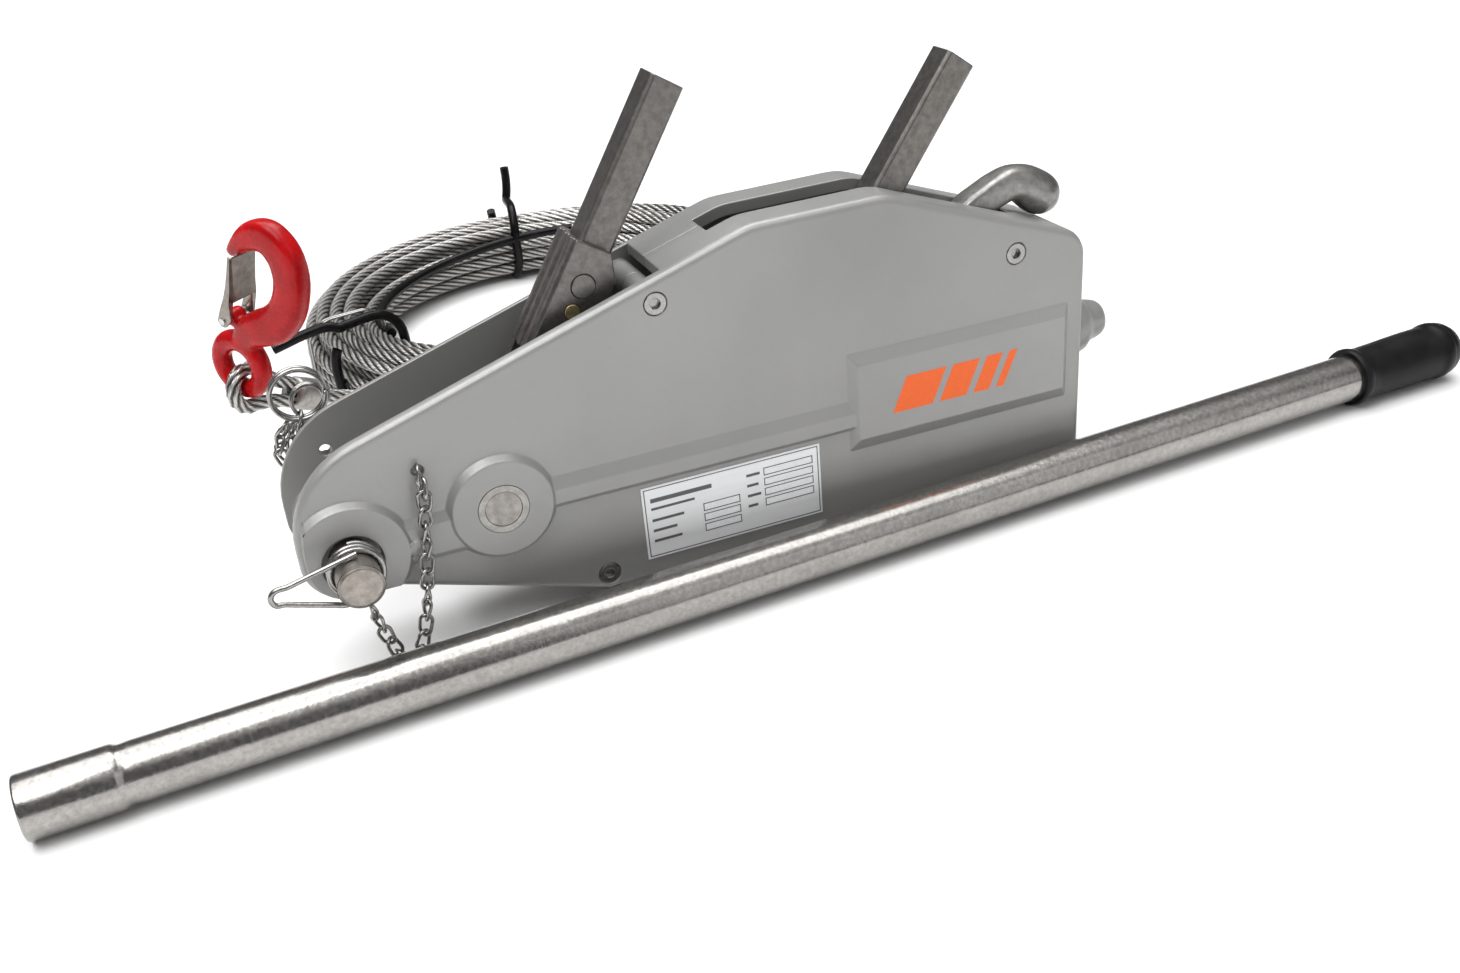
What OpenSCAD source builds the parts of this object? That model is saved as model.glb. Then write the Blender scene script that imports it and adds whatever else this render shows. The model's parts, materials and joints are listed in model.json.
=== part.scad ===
// Wire-rope hand puller: two cast shells with a lever-driven pair of rope jaws inside,
// an anchor pin with a spring bail, a coil of hooked wire rope and a loose hand lever.
// Units are millimetres. X runs along the body from the anchor end to the rope guide,
// Y runs from the front shell to the rear shell, Z is up. The body stands on z = 0.

/* [Body] */
// Length of the two cast shells
body_length = 398; // [380:420]
// Height of the highest point of the shells
body_height = 174; // [160:190]
// Width over the flat outer faces of the shells
body_width = 56; // [50:60]
// Wall thickness of the shells
wall = 6; // [4:8]
// Radius of the rounded outer edge of the shells
edge_radius = 4; // [2:5]
// Height that the round bosses stand out of the flat faces
boss_height = 4; // [2:6]

/* [Rope line] */
// Diameter of the wire rope
rope_dia = 8.3; // [8:9]
// Height of the rope line above the ground
rope_z = 75; // [70:80]
// Radius of the bore through the rope guide
guide_bore = 5.2; // [5:6]
// Outer radius of the rope guide
guide_radius = 16; // [14:18]

/* [Anchor] */
// Position of the anchor pin along the body
anchor_x = 22; // [20:26]
// Height of the anchor pin
anchor_z = 60.5; // [56:64]
// Radius of the anchor pin
anchor_radius = 9.75; // [9:10]
// Wire thickness of the bail
bail_wire = 2.6; // [2:3]
// Wire thickness of the small chains
chain_wire = 1.7; // [1.4:2]

/* [Levers] */
// Position of the forward lever's pivot along the body
pivot_x = 90.4; // [86:94]
// Height of the forward lever's pivot
pivot_z = 68.3; // [64:72]
// Radius of the pivot stubs
pivot_radius = 8.5; // [8:9]
// Lean of the forward lever from upright, in degrees
forward_lean = 32; // [30:36]
// Swing of the forward lever, in degrees
forward_swing = 53.5; // [40:60]
// Position of the reverse lever's pivot along the body
reverse_x = 268.3; // [262:272]
// Height of the reverse lever's pivot
reverse_z = 126; // [120:130]
// Lean of the reverse lever from upright, in degrees
reverse_lean = 35.8; // [32:38]
// Width of the lever bars in the plane they swing in
bar_width = 16.5; // [15:18]
// Thickness of the lever bars across the body
bar_depth = 16.8; // [15:18]
// Position of the release lever's pivot along the body
release_x = 338; // [334:342]
// Height of the release lever's pivot
release_z = 122; // [118:126]

/* [Jaws] */
// Distance of the drive pins from the forward lever's pivot
throw_radius = 18; // [16:20]
// Radius of the drive pins
throw_pin = 4; // [3:5]
// Length of a pair of jaws
jaw_length = 54; // [48:60]
// Thickness of the carriage side plates
side_plate = 3; // [3:5]

/* [Handle] */
// Length of the tube with its grip
tube_length = 780; // [760:830]
// Outer diameter of the tube
tube_dia = 26.2; // [25:28]
// Inner diameter of the tube
tube_bore = 24; // [23:25]
// Length of the rubber grip
grip_length = 80; // [70:90]

/* [Rope coil] */
// Mean radius of the coil
coil_radius = 147; // [130:170]
// Width of the bundle of turns
coil_width = 48; // [40:60]
// Height of the bundle of turns
coil_height = 48; // [40:60]
// Centre of the coil, X
coil_x = 213; // [190:230]
// Centre of the coil, Y
coil_y = 338; // [320:360]

/* [Hidden] */
$fn = 48;
half_width = body_width / 2;
inner_y = half_width - wall;
boss_y = half_width + boss_height;
fit_gap = 0.05;
rope_radius = rope_dia / 2;
steel = [0.45, 0.44, 0.42];
zinc = [0.72, 0.73, 0.74];
alloy = [0.66, 0.66, 0.64];
black = [0.06, 0.06, 0.06];
red = [0.75, 0.06, 0.08];

// half of the forward swing, and the stroke it gives each carriage
half_swing = forward_swing / 2;
stroke = 2 * throw_radius * sin(half_swing);
reverse_throw = 20;
reverse_half = asin(stroke / 2 / reverse_throw);

// the side view of the shells: corner x, corner z, corner radius, anticlockwise
base_start_x = 164;
corners = [
    [base_start_x, 0, 40], [body_length, 0, 12], [body_length, 134, 16],
    [288, body_height, 30], [220, body_height - 1, 34], [0, 103, 46],
    [0, anchor_z - 19.5, 19.4], [39, anchor_z - 19.5, 6]];

function unit(v) = v / norm(v);
function arc_points(a, p, b) =
    let (r = p[2], o = [p[0], p[1]], u = unit([a[0], a[1]] - o), v = unit([b[0], b[1]] - o),
        half = acos(u * v) / 2, c = o + unit(u + v) * r / sin(half), t = r / tan(half),
        s = o + u * t - c, e = o + v * t - c, turn = 180 - 2 * half,
        way = s[0] * e[1] - s[1] * e[0] > 0 ? 1 : -1, steps = max(2, ceil(turn / 7)))
    [for (i = [0:steps]) let (w = way * turn * i / steps)
        c + [s[0] * cos(w) - s[1] * sin(w), s[0] * sin(w) + s[1] * cos(w)]];
function rounded(k) = [for (i = [0:len(k) - 1])
    each arc_points(k[(i + len(k) - 1) % len(k)], k[i], k[(i + 1) % len(k)])];
function side_normal(a, b) = let (d = unit(b - a)) [-d[1], d[0]];
function inset(p, d) = [for (i = [0:len(p) - 1])
    let (n = side_normal(p[(i + len(p) - 1) % len(p)], p[i]),
        m = side_normal(p[i], p[(i + 1) % len(p)]))
    p[i] + d * (n + m) / (1 + n * m)];
outline = rounded(corners);

// the row's origin is the middle of the base, so every node is drawn through this
base_mid = 281;
module placed() { translate([-base_mid, 0, 0]) children(); }
module plate(y0, y1) {
    translate([0, y1, 0]) rotate([90, 0, 0]) linear_extrude(y1 - y0) children();
}
module rod(x, z, r, y0, y1) {
    translate([x, y0, z]) rotate([-90, 0, 0]) cylinder(r = r, h = y1 - y0);
}
module along_x(x0, x1) {
    translate([x0, 0, 0]) rotate([90, 0, 90]) linear_extrude(x1 - x0) children();
}
// a round bar along the points p, closed with flat ends; r is one radius or one per point
function radius_at(r, i) = is_list(r) ? r[i] : r;
module wire(p, r, sides = 8) {
    n = len(p);
    dirs = [for (i = [0:n - 1]) unit(p[min(i + 1, n - 1)] - p[max(i - 1, 0)])];
    ups = wire_frames(dirs);
    points = [for (i = [0:n - 1]) let (u = ups[i], v = cross(dirs[i], u))
        for (k = [0:sides - 1])
            p[i] + radius_at(r, i) * (u * cos(360 * k / sides) + v * sin(360 * k / sides))];
    faces = concat(
        [[for (k = [0:sides - 1]) k]],
        [[for (k = [0:sides - 1]) n * sides - 1 - k]],
        [for (i = [0:n - 2]) for (k = [0:sides - 1]) let (j = (k + 1) % sides)
            each [[i * sides + j, i * sides + k, (i + 1) * sides + k],
                [i * sides + j, (i + 1) * sides + k, (i + 1) * sides + j]]]);
    polyhedron(points, faces);
}
function any_normal(d) = unit(cross(d, abs(d[2]) < 0.9 ? [0, 0, 1] : [1, 0, 0]));
function wire_frames(dirs, i = 0, u = undef) =
    let (w = u == undef ? any_normal(dirs[0]) : unit(u - (u * dirs[i]) * dirs[i]))
    i == len(dirs) - 1 ? [w] : concat([w], wire_frames(dirs, i + 1, w));

// ---- shells ----
module shell_solid() {
    levels = [[0, 0], [half_width - edge_radius, 0], [half_width - edge_radius / 2, 0.54],
        [half_width - 0.54, edge_radius / 2], [half_width, edge_radius]];
    n = len(outline);
    points = [for (v = levels) for (q = inset(outline, v[1])) [q[0], -v[0], q[1]]];
    faces = concat([[for (i = [0:n - 1]) i]],
        [[for (i = [0:n - 1]) len(levels) * n - 1 - i]],
        [for (k = [0:len(levels) - 2]) for (i = [0:n - 1]) let (j = (i + 1) % n)
            [(k + 1) * n + i, (k + 1) * n + j, k * n + j, k * n + i]]);
    polyhedron(points, faces);
}
cover_x = 180;
module cavity_profile() {
    intersection() {
        polygon(inset(outline, wall));
        translate([-10, -10]) square([body_length + 20, body_height + 20]);
    }
    polygon([[-5, -5], [34, -5], [64, 41], [cover_x - 8, 100], [cover_x, 140],
        [cover_x - 6, 190], [-5, 190]]);
}
module screw_sites() {
    for (s = screws) translate([s[0], 0, s[1]]) rotate([90, 0, 0]) children();
}
screws = [[172.4, 146.3], [357.2, 132], [135.4, 18.7]];
screw_head = 5.2;
screw_shank = 3;
rib_top = 79;
panel_face = [268, 56, 116, 39];
panel_base = [263.5, 49.5, 124, 51];
panel_height = 3.6;
module raised_panel() {
    intersection() {
        along_x(panel_base[0], panel_base[0] + panel_base[2])
            polygon([[-half_width + 1, panel_base[1]], [-half_width, panel_base[1]],
                [-half_width - panel_height, panel_face[1]],
                [-half_width - panel_height, panel_face[1] + panel_face[3]],
                [-half_width, panel_base[1] + panel_base[3]],
                [-half_width + 1, panel_base[1] + panel_base[3]]]);
        linear_extrude(body_height)
            polygon([[panel_base[0], -half_width + 1], [panel_base[0], -half_width],
                [panel_face[0], -half_width - panel_height],
                [panel_face[0] + panel_face[2], -half_width - panel_height],
                [panel_base[0] + panel_base[2], -half_width],
                [panel_base[0] + panel_base[2], -half_width + 1]]);
    }
}
module shell_features() {
    // boss round the anchor pin, cut to the shell's outline
    intersection() {
        translate([anchor_x, -half_width + 1, anchor_z + 1]) rotate([90, 0, 0])
            cylinder(r1 = 28, r2 = 25, h = boss_height + 1);
        plate(-boss_y - 1, -half_width + 2) polygon(inset(outline, 2.9));
    }
    translate([pivot_x, -half_width + 1, pivot_z]) rotate([90, 0, 0])
        cylinder(r1 = 26, r2 = 23, h = boss_height + 1);
    along_x(anchor_x, pivot_x)
        polygon([[-half_width + 1, 50], [-half_width - 2.6, 54], [-half_width - 2.6, 69],
            [-half_width + 1, 75]]);
    along_x(pivot_x, panel_face[0])
        polygon([[-half_width + 1, 60], [-half_width - 2.4, 63], [-half_width - 2.4, 70],
            [-half_width + 1, rib_top]]);
    raised_panel();
    rod(50.5, 60, 3.6, -half_width - 4, -half_width + 1);
    // inner boss round the anchor pin and guide rails for the carriages
    rod(anchor_x, anchor_z, 19, -inner_y - 1, -inner_y + 4.5);
    difference() {
        translate([124, -inner_y - 1, 58]) cube([226, inner_y - 8.8, 34]);
        translate([120, -13.5, rope_z - 5.3]) cube([240, 5, 10.6]);
    }
}
module shell() {
    difference() {
        union() {
            difference() {
                shell_solid();
                plate(-inner_y, 1) cavity_profile();
            }
            shell_features();
            screw_posts();
            guide_socket();
        }
        rod(anchor_x, anchor_z, 13.3, -boss_y - 1, -half_width + 1.5);
        rod(anchor_x, anchor_z, anchor_radius + fit_gap, -boss_y - 1, 1);
        rod(pivot_x, pivot_z, pivot_radius + 0.02, -boss_y - 1, 1);
        rod(pivot_x, pivot_z, 11.6, -boss_y - 1, -boss_y + 1.2);
        // slot for the levers in the roof
        translate([206, -9, 138]) cube([158, 10, 60]);
        // blind holes for the inner axles
        rod(reverse_x, reverse_z, 6.02, -inner_y - 3, 1);
        rod(release_x, release_z, 5.02, -inner_y - 3, 1);
        screw_sites() cylinder(r = screw_shank + 0.02, h = half_width + 1);
        translate([body_length - 20, 0, rope_z]) rotate([0, 90, 0])
            cylinder(r = 11.02, h = 30);
    }
}
module screw_posts() {
    for (s = screws) rod(s[0], s[1], 6.4, -inner_y - 1, 0);
}
module guide_socket() {
    intersection() {
        translate([body_length - 26, 0, rope_z]) rotate([0, 90, 0]) cylinder(r = 15, h = 22);
        translate([body_length - 30, -30, 0]) cube([30, 30, 120]);
    }
}
module housing_front() {
    color(alloy) placed() difference() {
        shell();
        screw_sites() translate([0, 0, half_width - 3.4])
            cylinder(r = screw_head + 0.35, h = 5);
        rod(57, 95, 2.7, -boss_y, 0);
    }
}
module housing_rear() {
    color(alloy) placed() mirror([0, 1, 0]) difference() {
        shell();
        rod(24, 92, 2.7, -boss_y, 0);
    }
}
// countersunk socket screw, head flush with the front face
module screw(x, z) {
    translate([x, 0, z]) rotate([90, 0, 0]) difference() {
        union() {
            translate([0, 0, 3 - half_width]) cylinder(r = screw_shank, h = body_width - 6);
            translate([0, 0, half_width - 3.3]) cylinder(r1 = screw_shank, r2 = screw_head, h = 1.8);
            translate([0, 0, half_width - 1.5]) cylinder(r = screw_head, h = 1.3);
        }
        translate([0, 0, half_width - 2.4]) cylinder(r = 2.6, h = 4, $fn = 6);
    }
}
module screw_top() { color(zinc) placed() screw(screws[0][0], screws[0][1]); }
module screw_end() { color(zinc) placed() screw(screws[1][0], screws[1][1]); }
module screw_base() { color(zinc) placed() screw(screws[2][0], screws[2][1]); }
module rating_plate() {
    color([0.86, 0.87, 0.88]) placed() translate([155, -half_width - 0.4, 20.5]) cube([92, 0.4, 38]);
}
// flared steel ring that leads the rope into the body
module rope_guide() {
    color(alloy) placed() translate([0, 0, rope_z]) rotate([0, 90, 0]) difference() {
        union() {
            translate([0, 0, body_length - 20]) cylinder(r = 11, h = 24);
            translate([0, 0, body_length + 0.1]) cylinder(r = guide_radius, h = 14);
            translate([0, 0, body_length + 14.1]) cylinder(r1 = guide_radius, r2 = 12, h = 6);
            translate([0, 0, body_length + 20.1]) cylinder(r1 = 12, r2 = 9, h = 7.9);
        }
        translate([0, 0, body_length - 21]) cylinder(r = guide_bore, h = 60);
    }
}

// ---- forward lever ----
module axle_stub() {
    rod(pivot_x, pivot_z, pivot_radius, -boss_y + 0.3, -10.2);
}
module axle_front() { color(steel) placed() axle_stub(); }
module axle_rear() { color(steel) placed() mirror([0, 1, 0]) axle_stub(); }
module axle_clip() {
    difference() {
        rod(pivot_x, pivot_z, 11.5, -boss_y + 0.1, -boss_y + 1.1);
        rod(pivot_x, pivot_z, pivot_radius + 0.04, -boss_y - 1, -boss_y + 2);
    }
}
module axle_clip_front() { color(zinc) placed() axle_clip(); }
module axle_clip_rear() { color(zinc) placed() mirror([0, 1, 0]) axle_clip(); }

// crank and bar are drawn upright about the pivot, then leaned over
module leaned(x, z, a) { translate([x, 0, z]) rotate([0, a, 0]) children(); }
cheek_in = 8.7;
cheek_out = 13.2;
rivet_up = 103;
shear_up = 90.7;
module cheek_profile() {
    difference() {
        union() {
            circle(r = 16);
            polygon([[-15, 2], [-13, 30], [-11.5, 60], [-11.5, 121], [6, 121], [13.5, 110],
                [13.5, 98], [11, 76], [11, 46], [15, 4]]);
        }
        circle(r = pivot_radius + fit_gap);
        translate([0, rivet_up]) circle(r = 5.52);
        translate([0, shear_up]) circle(r = 3.52);
    }
}
module forward_crank() {
    color(steel) placed() leaned(pivot_x, pivot_z, forward_lean) difference() {
        union() {
            for (s = [0, 1]) mirror([0, s, 0]) plate(-cheek_out, -cheek_in)
                union() {
                    cheek_profile();
                    // tail that carries the lower drive pin
                    rotate(180 + forward_lean - half_swing) translate([0, throw_radius])
                        circle(r = 9);
                }
            // folded back that joins the cheeks and the ridges on it
            translate([-11.5, -cheek_in - 0.1, 66]) cube([3, 2 * cheek_in + 0.2, 55]);
            for (y = [-8, 0, 8]) translate([-13.2, y - 1.8, 66]) cube([2, 3.6, 55]);
        }
        rotate([0, half_swing - forward_lean, 0]) {
            rod(0, throw_radius, throw_pin + 0.02, -20, 20);
            rod(0, -throw_radius, throw_pin + 0.02, -20, 20);
        }
        rod(0, 0, pivot_radius + fit_gap, -20, 20);
    }
}
module bar_solid(length) {
    b = 1.6;
    w = bar_width / 2;
    d = bar_depth / 2;
    linear_extrude(length) polygon([[-w + b, -d], [w - b, -d], [w, -d + b], [w, d - b],
        [w - b, d], [-w + b, d], [-w, d - b], [-w, -d + b]]);
}
forward_bar_top = 198;
bar_foot = 78;
module forward_bar() {
    color(steel) placed() leaned(pivot_x, pivot_z, forward_lean) difference() {
        translate([0, 0, bar_foot]) bar_solid(forward_bar_top - bar_foot);
        rod(0, rivet_up, 5.52, -20, 20);
        rod(0, shear_up, 3.52, -20, 20);
    }
}
module bar_rivet() {
    color(steel) placed() leaned(pivot_x, pivot_z, forward_lean)
        rod(0, rivet_up, 5.5, -cheek_out - 0.6, cheek_out + 0.6);
}
module shear_pin() {
    color([0.62, 0.55, 0.35]) placed() leaned(pivot_x, pivot_z, forward_lean)
        rod(0, shear_up, 3.5, -cheek_out - 0.4, cheek_out + 0.4);
}
module throw_pin_upper() {
    color(zinc) placed() leaned(pivot_x, pivot_z, half_swing)
        rod(0, throw_radius, throw_pin, -cheek_out + 0.4, cheek_out - 0.4);
}
module throw_pin_lower() {
    color(zinc) placed() leaned(pivot_x, pivot_z, half_swing)
        rod(0, -throw_radius, throw_pin, -cheek_out + 0.4, cheek_out - 0.4);
}

// ---- reverse and release levers ----
reverse_bar_top = 121;
module reverse_lever() {
    color(steel) placed() difference() {
        union() {
            leaned(reverse_x, reverse_z, reverse_lean)
                bar_solid(reverse_bar_top);
            rod(reverse_x, reverse_z, 11, -inner_y + 0.5, inner_y - 0.5);
            leaned(reverse_x, reverse_z, reverse_half) plate(-5.2, 5.2)
                polygon([[-9, 0], [-7, -reverse_throw - 6], [7, -reverse_throw - 6], [9, 0]]);
        }
        rod(reverse_x, reverse_z, 6 + fit_gap, -30, 30);
        leaned(reverse_x, reverse_z, reverse_half)
            rod(0, -reverse_throw, throw_pin + 0.02, -20, 20);
    }
}
module reverse_axle() {
    color(zinc) placed() rod(reverse_x, reverse_z, 6, -inner_y - 2.8, inner_y + 2.8);
}
module reverse_throw_pin() {
    color(zinc) placed() leaned(reverse_x, reverse_z, reverse_half)
        rod(0, -reverse_throw, throw_pin, -9.4, 9.4);
}
release_path = [[0, 0, 9], [1, 23, 8.6], [25, 34.5, 8.6], [34, 35.5, 9.4], [49, 28.5, 10.9]];
module release_lever() {
    color([0.55, 0.55, 0.54]) placed() difference() {
        union() {
            rod(release_x, release_z, 10, -inner_y + 0.5, inner_y - 0.5);
            for (i = [0:len(release_path) - 2]) let (a = release_path[i], b = release_path[i + 1],
                d = [b[0] - a[0], b[1] - a[1]], l = norm(d))
                translate([release_x + a[0], 0, release_z + a[1]])
                    rotate([0, atan2(d[0], d[1]), 0]) cylinder(r1 = a[2] - 1.2, r2 = b[2] - 1.2, h = l);
            for (i = [1:len(release_path) - 1]) let (b = release_path[i])
                translate([release_x + b[0], 0, release_z + b[1]]) sphere(r = b[2] - 0.6);
            plate(-3, 3) polygon([[release_x - 24, release_z + 30], [release_x + 4, release_z + 22],
                [release_x + 6, release_z + 34], [release_x - 24, release_z + 37]]);
        }
        rod(release_x, release_z, 5 + fit_gap, -30, 30);
    }
}
module release_axle() {
    color(zinc) placed() rod(release_x, release_z, 5, -inner_y - 2.8, inner_y + 2.8);
}

// ---- jaw carriages ----
plate_in = 5.5;
plate_out = plate_in + side_plate;
yoke_gap = 0.3;
module both_sides() {
    for (s = [0, 1]) mirror([0, s, 0]) plate(-plate_out, -plate_in) children();
}
module yoke(x, z) {
    half = throw_pin + yoke_gap;
    translate([x - half, z - half - 1.8]) square([2 * half, 2 * half + 3.6]);
}
module shoes(x) {
    for (s = [0, 1]) mirror([0, s, 0])
        translate([x, -13.2, rope_z - 5]) cube([jaw_length + 8, 13.2 - plate_out + 0.1, 10]);
}
module bridges(x) {
    translate([x, -plate_in - 0.1, rope_z + 17]) cube([jaw_length + 8, 2 * plate_in + 0.2, 4]);
    translate([x, -plate_in - 0.1, rope_z - 19]) cube([jaw_length + 8, 2 * plate_in + 0.2, 4]);
}
rear_x = 128;
front_x = 242;
upper_pin = [pivot_x + throw_radius * sin(half_swing), pivot_z + throw_radius * cos(half_swing)];
lower_pin = [pivot_x - throw_radius * sin(half_swing), pivot_z - throw_radius * cos(half_swing)];
upper_yoke_z = pivot_z + throw_radius * (1 + cos(half_swing)) / 2;
lower_yoke_z = pivot_z - throw_radius * (1 + cos(half_swing)) / 2;
module rear_carriage() {
    color(steel) placed() union() {
        both_sides() difference() {
            union() {
                translate([rear_x, rope_z - 19]) square([jaw_length + 8, 40]);
                translate([upper_pin[0] - 9, upper_yoke_z - 8.6]) square([18, 17.6]);
                translate([upper_pin[0] + 8, upper_yoke_z - 4]) square([rear_x - upper_pin[0], 12]);
            }
            yoke(upper_pin[0], upper_yoke_z);
        }
        shoes(rear_x);
        bridges(rear_x);
    }
}
tab_x = reverse_x - reverse_throw * sin(reverse_half);
tab_z = reverse_z - reverse_throw * (1 + cos(reverse_half)) / 2;
link_top = rope_z - 19.4;
module front_carriage() {
    color(steel) placed() union() {
        both_sides() difference() {
            union() {
                translate([front_x, rope_z - 19]) square([jaw_length + 8, 40]);
                translate([lower_pin[0] - 9, lower_yoke_z - 8.6]) square([18, 14.4]);
                translate([lower_pin[0] - 9, link_top - 12]) square([front_x + 20 - lower_pin[0], 12]);
                translate([front_x, link_top - 12]) square([30, 20]);
                translate([tab_x - 11, rope_z + 20]) square([22, tab_z + 7.6 - rope_z - 20]);
            }
            yoke(lower_pin[0], lower_yoke_z);
            yoke(tab_x, tab_z);
        }
        shoes(front_x);
        bridges(front_x);
    }
}
// jaws clamp the rope line from below and above, with a half-round groove each
module jaw(x, low, high) {
    difference() {
        translate([x + 4, -plate_in + 0.15, low])
            cube([jaw_length, 2 * plate_in - 0.3, high - low]);
        translate([x, 0, rope_z]) rotate([0, 90, 0]) cylinder(r = rope_radius + 0.1, h = jaw_length + 8);
    }
}
jaw_gap = 0.8;
module rear_jaw_lower() { color(zinc) placed() jaw(rear_x, rope_z - 14.9, rope_z - jaw_gap); }
module rear_jaw_upper() { color(zinc) placed() jaw(rear_x, rope_z + jaw_gap, rope_z + 11); }
module front_jaw_lower() { color(zinc) placed() jaw(front_x, rope_z - 14.9, rope_z - jaw_gap); }
module front_jaw_upper() { color(zinc) placed() jaw(front_x, rope_z + jaw_gap, rope_z + 11); }
// wave spring between the bridge and the upper jaw
module jaw_spring(x) {
    for (d = [16, 46]) translate([x + d, 0, rope_z + 11.2]) difference() {
        cylinder(r = 4.4, h = 5.6);
        translate([0, 0, -1]) cylinder(r = 3.2, h = 8);
    }
}
module rear_jaw_spring() { color(zinc) placed() jaw_spring(rear_x); }
module front_jaw_spring() { color(zinc) placed() jaw_spring(front_x); }

// ---- anchor pin ----
pin_front = 54;
pin_rear = 38;
module anchor_pin() {
    color(steel) placed() difference() {
        union() {
            rod(anchor_x, anchor_z, anchor_radius, -pin_front + 1, pin_rear - 1);
            translate([anchor_x, -pin_front, anchor_z]) rotate([-90, 0, 0])
                cylinder(r1 = anchor_radius - 1, r2 = anchor_radius, h = 1.02);
            translate([anchor_x, pin_rear - 1.02, anchor_z]) rotate([-90, 0, 0])
                cylinder(r1 = anchor_radius, r2 = anchor_radius - 1, h = 1.02);
        }
        // cross hole for the rear ring
        translate([anchor_x, 35, anchor_z - 20]) cylinder(r = 1.8, h = 40);
    }
}
bail_r = anchor_radius + bail_wire / 2 + 0.3;
bail_tip = 36;
bail_y = -45.5;
function around(a, y) = [anchor_x + bail_r * cos(a), y, anchor_z + bail_r * sin(a)];
module pin_bail() {
    turns = [for (i = [0:40]) let (a = 95 - i * 360 * 2.47 / 40) around(a, bail_y + 11.6 - 8 * i / 40)];
    front = [for (i = [0:6]) let (t = i / 6) [anchor_x - bail_r * 0.7 - t * (bail_tip - 12),
        bail_y + 0.6 * t, anchor_z - bail_r * 0.95 + t * 7.5]];
    tip = [for (i = [1:5]) let (a = -100 - i * 28) [anchor_x - bail_tip + 3.4 + 4 * cos(a),
        bail_y + 0.6, anchor_z + 0.2 + 4 * sin(a)]];
    upper = [for (i = [0:6]) let (t = i / 6) [anchor_x - bail_tip + 7 + t * (bail_tip - 7 + 1.5),
        bail_y + 0.6 - 0.3 * t, anchor_z + 4.4 + t * (bail_r - 3.9)]];
    color(zinc) placed() wire(concat(turns, [[anchor_x - 3, bail_y + 1.6, anchor_z - bail_r * 0.99]],
        front, tip, upper), bail_wire / 2);
}
// oval chain link of outer length l, centred, long axis z, lying in the xz plane
link_len = 11.4;
link_wide = 7.2;
module chain_link() {
    r = (link_wide - chain_wire) / 2;
    h = (link_len - link_wide) / 2;
    for (s = [0, 1]) mirror([0, 0, s]) translate([0, 0, h]) rotate([90, 0, 0])
        rotate_extrude(angle = 180, $fn = 24) translate([r, 0]) circle(r = chain_wire / 2, $fn = 16);
    for (x = [-r, r]) translate([x, 0, -h]) cylinder(r = chain_wire / 2, h = 2 * h, $fn = 16);
}
link_pitch = link_len - 2 * chain_wire - 0.5;
// links set along the points p, alternate ones turned a quarter
module chain(p) {
    for (i = [0:len(p) - 2]) let (a = p[i], b = p[i + 1], d = b - a)
        translate((a + b) / 2) rotate([0, acos(d[2] / norm(d)), atan2(d[1], d[0])])
            rotate([0, 0, (i % 2) * 90 + 20]) chain_link();
}
// points one link pitch apart on a hanging curve from a to b that sags by s
function hang(a, b, s, n) = [for (i = [0:n]) let (t = i / n)
    a + (b - a) * t - [0, 0, 4 * s * t * (1 - t)]];
function stepped(p, gap, i = 0, last = undef) =
    i >= len(p) ? [] : last == undef ? concat([p[0]], stepped(p, gap, 1, p[0]))
    : norm(p[i] - last) >= gap ? let (q = last + unit(p[i] - last) * gap)
        concat([q], stepped(p, gap, i, q)) : stepped(p, gap, i + 1, last);
module pin_chain() {
    from = [anchor_x + 2, bail_y + 3, anchor_z - bail_r - 3];
    to = [57, -half_width - 7.5, 92];
    color(zinc) placed() chain(stepped(hang(from, to, 58, 160), link_pitch));
}
// two double-wound split rings: x, distance from the shell, z, mean radius, wire radius
split_rings = [[18.3, 5.2, 116, 12.2, 1.1], [22.6, 10, 110.4, 7.6, 0.9]];
module rear_ring() {
    color(zinc) placed() for (q = split_rings) for (d = [0, 2.1 * q[4]])
        translate([q[0], half_width + q[1] + d, q[2]]) rotate([90, 0, 0])
            rotate_extrude() translate([q[3], 0]) circle(r = q[4], $fn = 16);
}
module rear_chain() {
    color(zinc) placed() chain(stepped(hang([16, half_width + 8.4, 94.6], [6, half_width + 8.4, 58], 2, 80),
        link_pitch));
}

// ---- loose hand lever ----
tube_x = -125;
tube_y = -72;
tube_turn = 3.2;
grip_radius = 16.4;
tube_rise = asin((grip_radius - 14) / tube_length);
module laid_tube() {
    translate([tube_x, tube_y, 14]) rotate([0, 0, tube_turn]) rotate([0, 90 - tube_rise, 0])
        children();
}
module handle_tube() {
    color(zinc) placed() laid_tube() difference() {
        union() {
            cylinder(r = 14, h = 38);
            translate([0, 0, 37.9]) cylinder(r1 = 14, r2 = tube_dia / 2, h = 2.5);
            translate([0, 0, 40]) cylinder(r = tube_dia / 2, h = tube_length - 46);
        }
        translate([0, 0, -1]) cylinder(r = tube_bore / 2, h = tube_length + 2);
    }
}
module handle_grip() {
    r = tube_dia / 2;
    z0 = tube_length - grip_length;
    color(black) placed() laid_tube() difference() {
        union() {
            translate([0, 0, z0]) cylinder(r = 15.4, h = grip_length - 12);
            translate([0, 0, z0]) cylinder(r = 16.2, h = 4);
            translate([0, 0, tube_length - 17]) cylinder(r = grip_radius, h = 5);
            translate([0, 0, tube_length - 12]) intersection() {
                scale([1, 1, 0.75]) sphere(r = 16);
                cylinder(r = 17, h = 14);
            }
        }
        translate([0, 0, z0 - 1]) cylinder(r = r + 0.02, h = grip_length - 4.98);
    }
}

// ---- rope, hook and ties ----
coil_lift = 5;
coil_mid = coil_lift + coil_height / 2;
coil_top = coil_lift + coil_height;
hook_at = [-1.2, 168.8, 87];
hook_turn = -50;
hook_lean = 26;
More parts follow.
